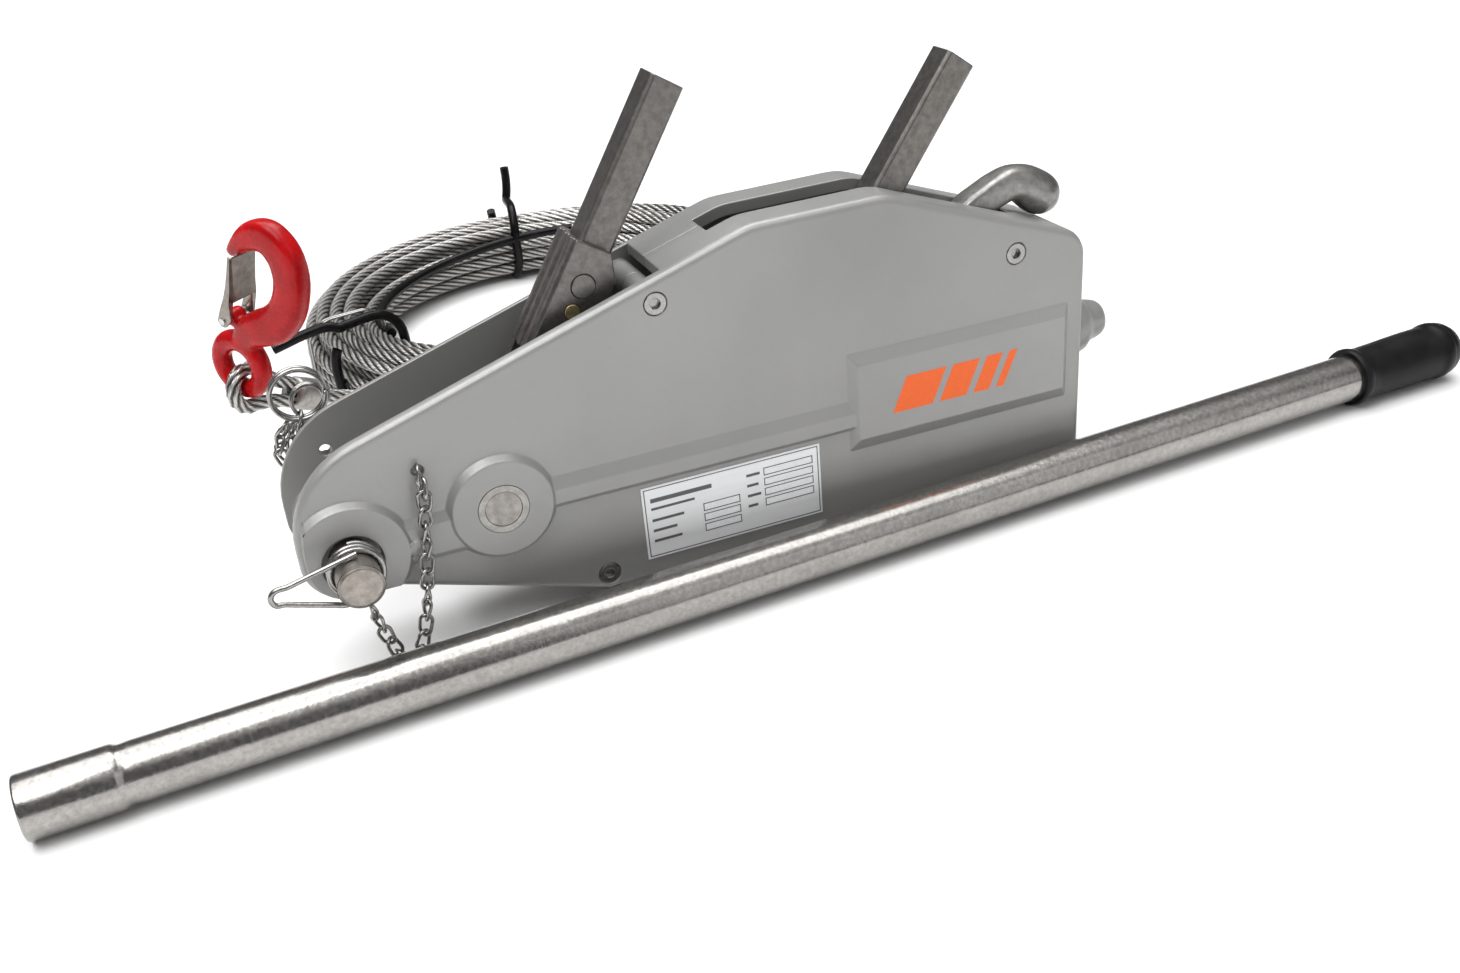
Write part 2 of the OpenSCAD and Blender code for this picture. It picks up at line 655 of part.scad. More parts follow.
// point on the coil's ring at angle a, r away from the mean radius, at height z
function on_ring(a, z, r = 0) = [coil_x + (coil_radius + r) * cos(a),
    coil_y + (coil_radius + r) * sin(a), z];
module rope_coil() {
    color(zinc) placed() translate([coil_x, coil_y, 0]) rotate_extrude($fn = 96)
        translate([coil_radius, coil_mid]) union() {
            for (s = [[-1, -1], [-1, 1], [1, -1], [1, 1]])
                translate([s[0] * (coil_width / 2 - 15), s[1] * (coil_height / 2 - 15)]) circle(r = 15);
            square([coil_width - 30, coil_height], center = true);
            square([coil_width, coil_height - 30], center = true);
        }
}
module at_hook() { translate(hook_at) rotate([0, hook_lean, hook_turn]) children(); }
eye_mean = 14;
eye_thick = 5.5;
// middle line of the hook from the neck to the tip: x, z, half width in the hook's plane
hook_line = [[0, 14, 7], [3, 23, 8.5], [11, 31, 9.8], [19.5, 40, 10], [24, 50.5, 9.5],
    [24.8, 61, 9.2], [22.8, 72, 9.4], [16, 82, 9.8], [6.5, 86, 9.4], [-2, 83.5, 8],
    [-8, 77, 6], [-11.5, 70, 4], [-13.5, 65, 2]];
hook_flat = 0.75;
latch_x = -8.3;
latch_z = 27.5;
latch_pin_r = 1.8;
module hook_body() {
    color(red) placed() at_hook() difference() {
        union() {
            rotate([90, 0, 0]) rotate_extrude() translate([eye_mean, 0]) circle(r = eye_thick, $fn = 32);
            scale([1, hook_flat, 1]) wire([for (p = hook_line) [p[0], 0, p[1]]],
                [for (p = hook_line) p[2]], 16);
            translate([latch_x, -4.5, latch_z]) rotate([-90, 0, 0]) cylinder(r = 4.5, h = 9);
        }
        translate([latch_x, -20, latch_z]) rotate([-90, 0, 0])
            cylinder(r = latch_pin_r + 0.02, h = 40);
        // worn land inside the eye
        rod(0, 0, eye_mean - eye_thick + 0.3, -20, 20);
    }
}
latch_out = 8.9;
latch_root = 14;
module hook_latch() {
    color(zinc) placed() at_hook() difference() {
        union() {
            for (y = [-latch_out, latch_out - 1.2]) translate([latch_x, y + 1.2, latch_z])
                rotate([90, 0, 0]) linear_extrude(1.2) union() {
                    circle(r = 3.4);
                    polygon([[-3.2, 0], [3.2, -1], [4.6, latch_root + 3], [-1.2, latch_root + 3]]);
                }
            translate([latch_x + 3.2, -latch_out + 0.5, latch_z + latch_root]) rotate([0, -8.5, 0])
                cube([1.2, 2 * latch_out - 1, 24]);
        }
        translate([latch_x, -20, latch_z]) rotate([-90, 0, 0])
            cylinder(r = latch_pin_r + fit_gap, h = 40);
    }
}
module latch_pin() {
    color(zinc) placed() at_hook() translate([latch_x, -9.8, latch_z]) rotate([-90, 0, 0])
        cylinder(r = latch_pin_r, h = 19.6);
}
module latch_spring() {
    color(zinc) placed() at_hook() translate([latch_x, 5, latch_z]) rotate([-90, 0, 0]) difference() {
        cylinder(r = 3.2, h = 2.2);
        translate([0, 0, -1]) cylinder(r = latch_pin_r + 0.2, h = 5);
    }
}
// the rope's eye passes through the hook, is held by a ferrule and runs on to the coil
lead_fall = 28;
hook_normal = [-sin(hook_turn), cos(hook_turn), 0];
lead_way = hook_normal * cos(lead_fall) - [0, 0, sin(lead_fall)];
lead_side = hook_normal * sin(lead_fall) + [0, 0, cos(lead_fall)];
eye_low = hook_at - [0, 0, eye_mean];
eye_round = 10.6;
ferrule_start = 33;
ferrule_length = 24;
function bezier(a, b, c, d, t) = let (u = 1 - t)
    a * (u * u * u) + b * (3 * u * u * t) + c * (3 * u * t * t) + d * (t * t * t);
lead_end = 220;
module rope_lead() {
    loop = [for (i = [0:20]) let (a = -120 + 12 * i)
        eye_low + lead_way * (-eye_round * cos(a)) + lead_side * eye_round * sin(a)];
    ends = [for (k = [-1, 1]) eye_low + lead_way * (ferrule_start - 1) + lead_side * k * 4.3];
    out = eye_low + lead_way * (ferrule_start + ferrule_length + 0.2);
    joined = on_ring(lead_end, 30, 31);
    heading = [sin(lead_end), -cos(lead_end), 0];
    bent = [for (i = [0:14]) bezier(out, out + lead_way * 24, joined - heading * 24, joined, i / 14)];
    run = [for (i = [1:3]) on_ring(lead_end - 1.6 * i, 30, 31)];
    color(zinc) placed() {
        wire(concat([ends[0]], loop, [ends[1]]), rope_radius, 10);
        wire(concat(bent, run), rope_radius, 10);
    }
}
module rope_ferrule() {
    color(zinc) placed() translate(eye_low + lead_way * ferrule_start)
        rotate([0, acos(lead_way[2]), atan2(lead_way[1], lead_way[0])])
            cylinder(r = 9.4, h = ferrule_length);
}
// band of round stock hugging the bundle of turns
module tie(a, t) {
    r = 15 + t + 0.2;
    w = coil_width / 2 - 15;
    h = coil_height / 2 - 15;
    translate(on_ring(a, coil_mid)) rotate([0, 0, a]) {
        for (q = [0:3]) let (sx = q == 0 || q == 3 ? 1 : -1, sz = q < 2 ? 1 : -1)
            translate([sx * w, 0, sz * h]) rotate([90, 0, 0]) rotate([0, 0, q * 90])
                rotate_extrude(angle = 90) translate([r, 0]) circle(r = t, $fn = 16);
        for (s = [-1, 1]) {
            translate([s * (w + r), 0, -h]) cylinder(r = t, h = 2 * h, $fn = 16);
            translate([-w, 0, s * (h + r)]) rotate([0, 90, 0]) cylinder(r = t, h = 2 * w, $fn = 16);
        }
    }
}
module coil_tie_front() { color(black) placed() tie(200, 2.2); }
module coil_tie_rear() { color(black) placed() tie(86, 2.2); }
module coil_binding() { color(zinc) placed() for (a = [205, 207.5, 210]) tie(a, 0.9); }
module rope_tip() {
    run = [for (i = [0:16]) on_ring(262 + 3 * i, coil_top + rope_radius + 0.4, -3)];
    color(zinc) placed() wire(run, rope_radius, 10);
}

housing_front();
housing_rear();
screw_top();
screw_end();
screw_base();
rating_plate();
rope_guide();
axle_front();
axle_rear();
axle_clip_front();
axle_clip_rear();
forward_crank();
forward_bar();
bar_rivet();
shear_pin();
throw_pin_upper();
throw_pin_lower();
reverse_lever();
reverse_axle();
reverse_throw_pin();
release_lever();
release_axle();
rear_carriage();
rear_jaw_lower();
rear_jaw_upper();
rear_jaw_spring();
front_carriage();
front_jaw_lower();
front_jaw_upper();
front_jaw_spring();
anchor_pin();
pin_bail();
pin_chain();
rear_ring();
rear_chain();
handle_tube();
handle_grip();
rope_coil();
rope_lead();
rope_ferrule();
hook_body();
hook_latch();
latch_pin();
latch_spring();
coil_tie_front();
coil_tie_rear();
coil_binding();
rope_tip();
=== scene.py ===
import json
import math

import bmesh
import bpy
import numpy as np
from mathutils import Matrix, Vector


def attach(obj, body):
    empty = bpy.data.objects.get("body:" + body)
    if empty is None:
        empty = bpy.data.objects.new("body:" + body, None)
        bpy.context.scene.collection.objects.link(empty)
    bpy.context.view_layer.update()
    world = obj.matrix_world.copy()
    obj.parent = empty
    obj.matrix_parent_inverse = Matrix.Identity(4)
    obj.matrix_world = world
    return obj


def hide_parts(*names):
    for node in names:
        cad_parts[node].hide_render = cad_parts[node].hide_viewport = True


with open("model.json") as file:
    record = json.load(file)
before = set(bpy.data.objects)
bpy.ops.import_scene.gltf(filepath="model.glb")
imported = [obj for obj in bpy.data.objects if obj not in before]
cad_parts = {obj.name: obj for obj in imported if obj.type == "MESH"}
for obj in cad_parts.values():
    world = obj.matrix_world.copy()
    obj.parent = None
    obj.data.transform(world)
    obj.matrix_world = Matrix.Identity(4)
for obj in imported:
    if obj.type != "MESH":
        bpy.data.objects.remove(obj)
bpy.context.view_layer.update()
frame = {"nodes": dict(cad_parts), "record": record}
nodes = frame["nodes"]
body_of = {n: b for b, members in frame["record"]["behaviour"]["bodies"].items() for n in members}
scene = bpy.context.scene

MM = 0.001
BASE_MID = 281  # middle of the base, in millimetres from the anchor end


def at(x, y, z):
    """A point given in millimetres from the anchor end of the body, in the row frame."""
    return np.array([(x - BASE_MID) * MM, y * MM, z * MM])


def unit(v):
    v = np.asarray(v, float)
    return v / max(np.linalg.norm(v), 1e-12)


# ---------------------------------------------------------------- camera
CAMERA_AT = (-0.28384, -0.58357, 0.36196)
CAMERA_TURN = (20.005, 27.988, 5.141)  # yaw, pitch down and roll, in degrees
CAMERA_LENS = 34.52  # on a sensor 36 mm wide


def make_camera():
    yaw, pitch, roll = (math.radians(v) for v in CAMERA_TURN)
    ahead = Vector((math.sin(yaw) * math.cos(pitch), math.cos(yaw) * math.cos(pitch), -math.sin(pitch)))
    side = Vector((math.cos(yaw), -math.sin(yaw), 0))
    low = ahead.cross(side)
    x = side * math.cos(roll) + low * math.sin(roll)
    y = side * math.sin(roll) - low * math.cos(roll)
    data = bpy.data.cameras.new("camera")
    data.sensor_width = 36
    data.lens = CAMERA_LENS
    data.clip_start = 0.02
    data.clip_end = 60
    camera = bpy.data.objects.new("camera", data)
    scene.collection.objects.link(camera)
    turn = Matrix((x, y, -ahead)).transposed().to_4x4()
    camera.matrix_world = Matrix.Translation(CAMERA_AT) @ turn
    scene.camera = camera


make_camera()


# ---------------------------------------------------------------- materials
class Nodes:
    """Small helper that writes a node tree."""

    def __init__(self, name):
        self.mat = bpy.data.materials.new(name)
        self.mat.use_nodes = True
        self.tree = self.mat.node_tree
        self.shader = self.tree.nodes["Principled BSDF"]

    def put(self, kind, **settings):
        n = self.tree.nodes.new(kind)
        for k, v in settings.items():
            setattr(n, k, v)
        return n

    def link(self, a, b):
        self.tree.links.new(a, b)

    def where(self, stretch=(1, 1, 1)):
        c = self.put("ShaderNodeTexCoord")
        m = self.put("ShaderNodeMapping")
        m.inputs["Scale"].default_value = stretch
        self.link(c.outputs["Object"], m.inputs["Vector"])
        return m.outputs["Vector"]

    def noise(self, scale, detail=4, rough=0.55, where=None, warp=0.0):
        n = self.put("ShaderNodeTexNoise")
        n.inputs["Scale"].default_value = scale
        n.inputs["Detail"].default_value = detail
        n.inputs["Roughness"].default_value = rough
        n.inputs["Distortion"].default_value = warp
        self.link(where if where is not None else self.where(), n.inputs["Vector"])
        return n.outputs["Fac"]

    def cells(self, scale):
        n = self.put("ShaderNodeTexVoronoi")
        n.inputs["Scale"].default_value = scale
        self.link(self.where(), n.inputs["Vector"])
        return n.outputs["Distance"]

    def span(self, value, a, b, c, d):
        """value from a..b to c..d, clamped."""
        n = self.put("ShaderNodeMapRange")
        n.clamp = True
        for i, v in zip(range(1, 5), (a, b, c, d)):
            n.inputs[i].default_value = v
        self.link(value, n.inputs[0])
        return n.outputs[0]

    def math(self, what, a, b=None):
        n = self.put("ShaderNodeMath", operation=what)
        for i, v in enumerate((a, b)):
            if v is None:
                continue
            if isinstance(v, (int, float)):
                n.inputs[i].default_value = v
            else:
                self.link(v, n.inputs[i])
        return n.outputs[0]

    def mix(self, share, a, b):
        n = self.put("ShaderNodeMix", data_type="RGBA")
        for socket, v in ((n.inputs[0], share), (n.inputs[6], a), (n.inputs[7], b)):
            if isinstance(v, tuple):
                socket.default_value = (*v, 1)
            elif isinstance(v, (int, float)):
                socket.default_value = v
            else:
                self.link(v, socket)
        return n.outputs[2]

    def bump(self, height, strength, distance, under=None):
        n = self.put("ShaderNodeBump")
        n.inputs["Strength"].default_value = strength
        n.inputs["Distance"].default_value = distance
        self.link(height, n.inputs["Height"])
        if under is not None:
            self.link(under, n.inputs["Normal"])
        return n.outputs["Normal"]

    def finish(self, color, metallic, rough, normal=None, **fixed):
        for name, v in (("Base Color", color), ("Metallic", metallic), ("Roughness", rough)):
            s = self.shader.inputs[name]
            if isinstance(v, tuple):
                s.default_value = (*v, 1)
            elif isinstance(v, (int, float)):
                s.default_value = v
            else:
                self.link(v, s)
        if normal is not None:
            self.link(normal, self.shader.inputs["Normal"])
        for name, v in fixed.items():
            self.shader.inputs[name.replace("_", " ")].default_value = v
        return self.mat


def cast_alloy(name="cast_alloy", dark=1.0):
    m = Nodes(name)
    cloud = m.noise(9, 3, 0.5)
    grain = m.noise(420, 3, 0.6)
    fine = m.noise(1500, 2, 0.5)
    low = (0.335 * dark, 0.333 * dark, 0.325 * dark)
    high = (0.395 * dark, 0.393 * dark, 0.385 * dark)
    color = m.mix(m.span(cloud, 0.3, 0.7, 0, 1), low, high)
    scuff = m.span(m.noise(70, 6, 0.75, warp=0.6), 0.66, 0.74, 0, 0.35)
    color = m.mix(scuff, color, (0.24 * dark, 0.24 * dark, 0.235 * dark))
    normal = m.bump(grain, 0.10, 0.0006)
    normal = m.bump(fine, 0.08, 0.0002, normal)
    rough = m.span(grain, 0.3, 0.7, 0.34, 0.46)
    return m.finish(color, 0.35, rough, normal)


def worn_steel(name, base, rough=(0.34, 0.55), along=(1, 1, 1), rust=0.25, metal=0.85):
    m = Nodes(name)
    where = m.where(stretch=along)
    cloud = m.noise(26, 5, 0.6)
    streak = m.noise(260, 4, 0.65, where)
    pits = m.noise(700, 5, 0.7)
    low = tuple(v * 0.82 for v in base)
    high = tuple(min(1.0, v * 1.22) for v in base)
    color = m.mix(m.span(streak, 0.35, 0.65, 0, 1), low, high)
    color = m.mix(m.span(cloud, 0.52, 0.75, 0, rust), color, (0.16, 0.105, 0.075))
    value = m.math("ADD", m.math("MULTIPLY", streak, 0.6), m.math("MULTIPLY", pits, 0.6))
    normal = m.bump(value, 0.22, 0.0003)
    return m.finish(color, metal, m.span(pits, 0.3, 0.7, *rough), normal)


def zinc_plate(name, base=(0.62, 0.62, 0.61), rough=(0.16, 0.34), scale=240, strength=0.10):
    m = Nodes(name)
    mottle = m.noise(scale, 6, 0.72)
    cloud = m.noise(scale / 9, 3, 0.5)
    crystals = m.cells(scale * 2.6)
    low = tuple(v * 0.62 for v in base)
    color = m.mix(m.span(mottle, 0.32, 0.68, 0, 1), low, base)
    color = m.mix(m.span(cloud, 0.4, 0.7, 0, 0.35), color, tuple(v * 0.55 for v in base))
    height = m.math("ADD", mottle, m.math("MULTIPLY", crystals, 0.5))
    return m.finish(color, 0.95, m.span(mottle, 0.3, 0.7, *rough), m.bump(height, strength, 0.0005))


def rubber(name="grip_rubber", base=(0.004, 0.004, 0.004), rough=(0.3, 0.5)):
    m = Nodes(name)
    soft = m.noise(60, 4, 0.6)
    skin = m.noise(900, 3, 0.6)
    color = m.mix(m.span(soft, 0.4, 0.75, 0, 1), base, tuple(v * 2.6 for v in base))
    return m.finish(color, 0.0, m.span(soft, 0.3, 0.7, *rough), m.bump(skin, 0.15, 0.0003),
                    Specular_IOR_Level=0.14)


def red_paint():
    m = Nodes("hook_paint")
    forged = m.noise(75, 3, 0.55)
    skin = m.noise(420, 4, 0.6)
    chips = m.noise(150, 6, 0.75, warp=0.4)
    color = m.mix(m.span(forged, 0.35, 0.7, 0, 1), (0.36, 0.003, 0.005), (0.50, 0.006, 0.008))
    worn = m.span(chips, 0.72, 0.76, 0, 0.8)
    color = m.mix(worn, color, (0.16, 0.05, 0.045))
    normal = m.bump(forged, 0.35, 0.0012)
    normal = m.bump(skin, 0.16, 0.0004, normal)
    return m.finish(color, 0.0, m.span(skin, 0.3, 0.7, 0.16, 0.32), normal,
                    Coat_Weight=0.1, Coat_Roughness=0.08, Specular_IOR_Level=0.15)


STRANDS = 6
LAY = 0.052  # length in which a strand goes once round the rope, in metres


def rope_wire():
    """u of the rope's UV runs round a ring that turns with the strands, and v along the rope in metres."""
    m = Nodes("rope_wire")
    uv = m.put("ShaderNodeUVMap", uv_map="along")
    split = m.put("ShaderNodeSeparateXYZ")
    m.link(uv.outputs["UV"], split.inputs[0])
    u, v = split.outputs[0], split.outputs[1]
    turn = 2 * math.pi
    strand_shade = m.math("COSINE", m.math("MULTIPLY", u, turn * STRANDS))
    # outer wires of each strand run back along the rope; the same lines give the bump and darken the gaps
    # between wires as painted shade
    wires = m.math("SINE", m.math("MULTIPLY", m.math("ADD", m.math("MULTIPLY", u, 4.0 * STRANDS),
                                                     m.math("MULTIPLY", v, 3.4 * STRANDS / LAY)), turn))
    dirt = m.noise(30, 4, 0.6)
    fleck = m.noise(1300, 3, 0.7)
    # painted shade: the valleys between the strands are coloured near black, far darker than the steel on
    # the crests
    color = m.mix(m.span(strand_shade, -0.9, 0.55, 0, 1), (0.06, 0.057, 0.053), (0.74, 0.725, 0.70))
    # painted shade: the gaps between the outer wires are coloured darker
    color = m.mix(m.span(wires, -1, 0.2, 0.5, 0), color, (0.07, 0.066, 0.06))
    color = m.mix(m.span(dirt, 0.45, 0.75, 0, 0.4), color, (0.16, 0.15, 0.135))
    rough = m.span(fleck, 0.3, 0.7, 0.24, 0.42)
    return m.finish(color, 0.85, rough, m.bump(wires, 0.5, 0.00022))


def label_face():
    m = Nodes("label_silver")
    brushed = m.noise(220, 3, 0.6, m.where(stretch=(0.05, 1, 3)))
    color = m.mix(brushed, (0.78, 0.79, 0.80), (0.88, 0.89, 0.90))
    return m.finish(color, 0.15, m.span(brushed, 0.3, 0.7, 0.30, 0.42), m.bump(brushed, 0.04, 0.0001))


def ink(name, value):
    m = Nodes(name)
    speck = m.noise(900, 3, 0.6)
    color = m.mix(speck, tuple(v * 0.85 for v in value), tuple(min(1, v * 1.12) for v in value))
    return m.finish(color, 0.0, m.span(speck, 0.3, 0.7, 0.38, 0.5), m.bump(speck, 0.05, 0.0001))


CAST = cast_alloy("cast_alloy", 0.80)
LEVER = worn_steel("lever_steel", (0.155, 0.147, 0.137), (0.30, 0.44), (1, 1, 1), 0.10)
CRANK = worn_steel("crank_steel", (0.165, 0.157, 0.148), (0.32, 0.48), (1, 1, 1), 0.18)
PIN = worn_steel("pin_steel", (0.30, 0.275, 0.25), (0.26, 0.42), (1, 0.3, 1), 0.2)
ROUGH_END = worn_steel("axle_end", (0.36, 0.34, 0.32), (0.42, 0.6), (1, 1, 1), 0.3)
FORGED = worn_steel("forged_grey", (0.24, 0.236, 0.225), (0.26, 0.4), (1, 1, 1), 0.06, 0.8)
INNER = worn_steel("inner_steel", (0.34, 0.33, 0.31), (0.35, 0.5), (1, 1, 1), 0.1)
LATCH = worn_steel("latch_steel", (0.26, 0.235, 0.21), (0.26, 0.42), (1, 1, 1), 0.12)
ZINC = zinc_plate("bright_zinc", (0.72, 0.72, 0.70), (0.2, 0.36), 500)
TUBE = zinc_plate("tube_zinc", (0.42, 0.405, 0.385), (0.13, 0.26), 420, 0.07)
WIRE = zinc_plate("zinc_wire", (0.42, 0.41, 0.395), (0.16, 0.3), 700, 0.05)
BRASS = worn_steel("shear_brass", (0.46, 0.38, 0.20), (0.3, 0.45), (1, 1, 1), 0.1)
RUBBER = rubber()
HOSE = rubber("black_hose", (0.003, 0.003, 0.003), (0.16, 0.3))
RED = red_paint()
ROPE = rope_wire()
LABEL = label_face()
FIELD = ink("label_line", (0.10, 0.10, 0.11))
BLANK = ink("label_blank", (0.86, 0.87, 0.88))
MARK = ink("orange_mark", (0.86, 0.12, 0.002))


# ---------------------------------------------------------------- mesh helpers
def new_piece(name, verts, faces, mat, smooth=True):
    mesh = bpy.data.meshes.new(name)
    mesh.from_pydata([tuple(map(float, v)) for v in verts], [], [tuple(map(int, f)) for f in faces])
    mesh.validate()
    obj = bpy.data.objects.new(name, mesh)
    scene.collection.objects.link(obj)
    mesh.materials.append(mat)
    for p in mesh.polygons:
        p.use_smooth = smooth
    return obj


def frames_along(points, closed=False):
    """Unit directions and turning-free side vectors along a line."""
    p = np.asarray(points, float)
    if closed:
        d = np.roll(p, -1, 0) - np.roll(p, 1, 0)
    else:
        d = np.gradient(p, axis=0)
    d /= np.maximum(np.linalg.norm(d, axis=1), 1e-12)[:, None]
    first = np.cross(d[0], [0, 0, 1.0] if abs(d[0][2]) < 0.9 else [1.0, 0, 0])
    u = np.zeros_like(p)
    w = unit(first - np.dot(first, d[0]) * d[0])
    for i in range(len(p)):
        w = unit(w - np.dot(w, d[i]) * d[i])
        u[i] = w
    return d, u, np.cross(d, u)


def ring_faces(rows, sides, closed=False):
    """Quads between rings of vertices that lie row after row."""
    faces = []
    for i in range(rows if closed else rows - 1):
        j = (i + 1) % rows
        for k in range(sides):
            l = (k + 1) % sides
            faces.append((i * sides + k, i * sides + l, j * sides + l, j * sides + k))
    return faces


def end_caps(rows, sides):
    return [tuple(range(sides))[::-1], tuple((rows - 1) * sides + k for k in range(sides))]


def tube_mesh(points, radius, sides=16, closed=False, cap=True):
    """Vertices and faces of a round bar."""
    _, u, v = frames_along(points, closed)
    n = len(points)
    a = np.linspace(0, 2 * math.pi, sides, endpoint=False)
    ring = np.cos(a)[None, :, None] * u[:, None, :] + np.sin(a)[None, :, None] * v[:, None, :]
    verts = (np.asarray(points)[:, None, :] + radius * ring).reshape(-1, 3)
    faces = ring_faces(n, sides, closed)
    if cap and not closed:
        faces += end_caps(n, sides)
    return verts, faces


def joined(parts):
    """One vertex list and one face list from several."""
    verts, faces, base = [], [], 0
    for v, f in parts:
        verts.extend(v)
        faces.extend(tuple(i + base for i in face) for face in f)
        base += len(v)
    return verts, faces


def lathe(profile, start, way, sides=64, closed=False):
    """A turned part: profile is (distance along, radius) in millimetres from start along way."""
    way = unit(way)
    u = unit(np.cross(way, [0, 0, 1.0] if abs(way[2]) < 0.9 else [1.0, 0, 0]))
    v = np.cross(way, u)
    verts = []
    for h, r in profile:
        for k in range(sides):
            a = 2 * math.pi * k / sides
            verts.append(start + way * h * MM + (u * math.cos(a) + v * math.sin(a)) * r * MM)
    return verts, ring_faces(len(profile), sides, closed)


def soften(bm, angle):
    """Smooth faces that look outward, with the edges above the angle kept sharp."""
    bmesh.ops.recalc_face_normals(bm, faces=bm.faces)
    for e in bm.edges:
        e.smooth = not (len(e.link_faces) == 2 and e.calc_face_angle(0) > math.radians(angle))
    for f in bm.faces:
        f.smooth = True


def sharpen(obj, angle=35):
    bm = bmesh.new()
    bm.from_mesh(obj.data)
    soften(bm, angle)
    bm.to_mesh(obj.data)
    bm.free()
    return obj


def apply_modifiers(obj):
    bpy.context.view_layer.update()
    graph = bpy.context.evaluated_depsgraph_get()
    mesh = bpy.data.meshes.new_from_object(obj.evaluated_get(graph))
    old = obj.data
    obj.modifiers.clear()
    obj.data = mesh
    bpy.data.meshes.remove(old)


def stand_for(obj, *cad_nodes, slot):
    """The piece rides where the CAD nodes do and is shown in their place."""
    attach(obj, body_of[cad_nodes[0]])
    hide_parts(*cad_nodes)
    return obj


def refined(node, mat, width, segments, angle=18, *, slot):
    """The CAD node's solid with its facets merged and its edges rounded."""
    obj = bpy.data.objects.new(node + "_look", nodes[node].data.copy())
    scene.collection.objects.link(obj)
    bm = bmesh.new()
    bm.from_mesh(obj.data)
    bmesh.ops.remove_doubles(bm, verts=bm.verts, dist=2e-6)
    bmesh.ops.dissolve_limit(bm, angle_limit=math.radians(0.6), verts=bm.verts, edges=bm.edges)
    soften(bm, angle)
    bm.to_mesh(obj.data)
    bm.free()
    if obj.data.has_custom_normals:
        with bpy.context.temp_override(object=obj, active_object=obj):
            bpy.ops.mesh.customdata_custom_splitnormals_clear()
    obj.data.materials.clear()
    obj.data.materials.append(mat)
    bevel = obj.modifiers.new("round", "BEVEL")
    bevel.width = width * MM
    bevel.segments = segments
    bevel.limit_method = "ANGLE"
    bevel.angle_limit = math.radians(angle)
    bevel.use_clamp_overlap = False
    bevel.miter_outer = "MITER_ARC"
    weigh = obj.modifiers.new("weigh", "WEIGHTED_NORMAL")
    weigh.keep_sharp = False
    return stand_for(obj, node, slot=slot)


def repaint(node, mat):
    o = nodes[node]
    o.data.materials.clear()
    o.data.materials.append(mat)


# ---------------------------------------------------------------- rope
ROPE_D = 8.3
ROPE_R = ROPE_D / 2
COIL_MID = (213.0, 338.0)
COIL_R = 147.0
COIL_LIFT = 5.0
COIL_SIZE = 48.0
COIL_TOP = COIL_LIFT + COIL_SIZE
HOOK_AT = np.array([-1.2, 168.8, 87.0])
HOOK_TURN = math.radians(-50)
HOOK_LEAN = math.radians(26)
EYE_MEAN = 14.0
LEAD_FALL = math.radians(28)
HOOK_NORMAL = np.array([-math.sin(HOOK_TURN), math.cos(HOOK_TURN), 0])
LEAD_WAY = HOOK_NORMAL * math.cos(LEAD_FALL) - np.array([0, 0, math.sin(LEAD_FALL)])
LEAD_SIDE = HOOK_NORMAL * math.sin(LEAD_FALL) + np.array([0, 0, math.cos(LEAD_FALL)])
EYE_LOW = HOOK_AT - np.array([0, 0, EYE_MEAN])
EYE_ROUND = 10.6
FERRULE = (33.0, 24.0)
LEAD_END = 220.0
TURNS = 20.66
PER_TURN = 90  # points of each turn
FIRST_ANGLE = 210.0
PINCHED_AT = (200, 92)  # angles at which the bundle is drawn in
SETTLE_STEPS = 150


def on_ring(a, z, r=0.0):
    """A place by its angle round the coil, its height and its distance out from the middle turn."""
    a = math.radians(a)
    far = COIL_R + r
    return np.array([COIL_MID[0] + far * math.cos(a), COIL_MID[1] + far * math.sin(a), z])


def slots():
    """Places of the turns in the bundle's cross-section, in the order in which they are wound."""
    pitch = (COIL_SIZE - ROPE_D) / 4
    order = []
    for column, rows in ((2, (1, 2, 3)), (1, (4, 3, 2, 1, 0)), (0, (0, 1, 2, 3, 4)),
                         (-1, (4, 3, 2, 1, 0)), (-2, (1, 2, 3))):
        order += [(column * pitch, COIL_LIFT + ROPE_R + row * pitch) for row in rows]
    return np.array(order)


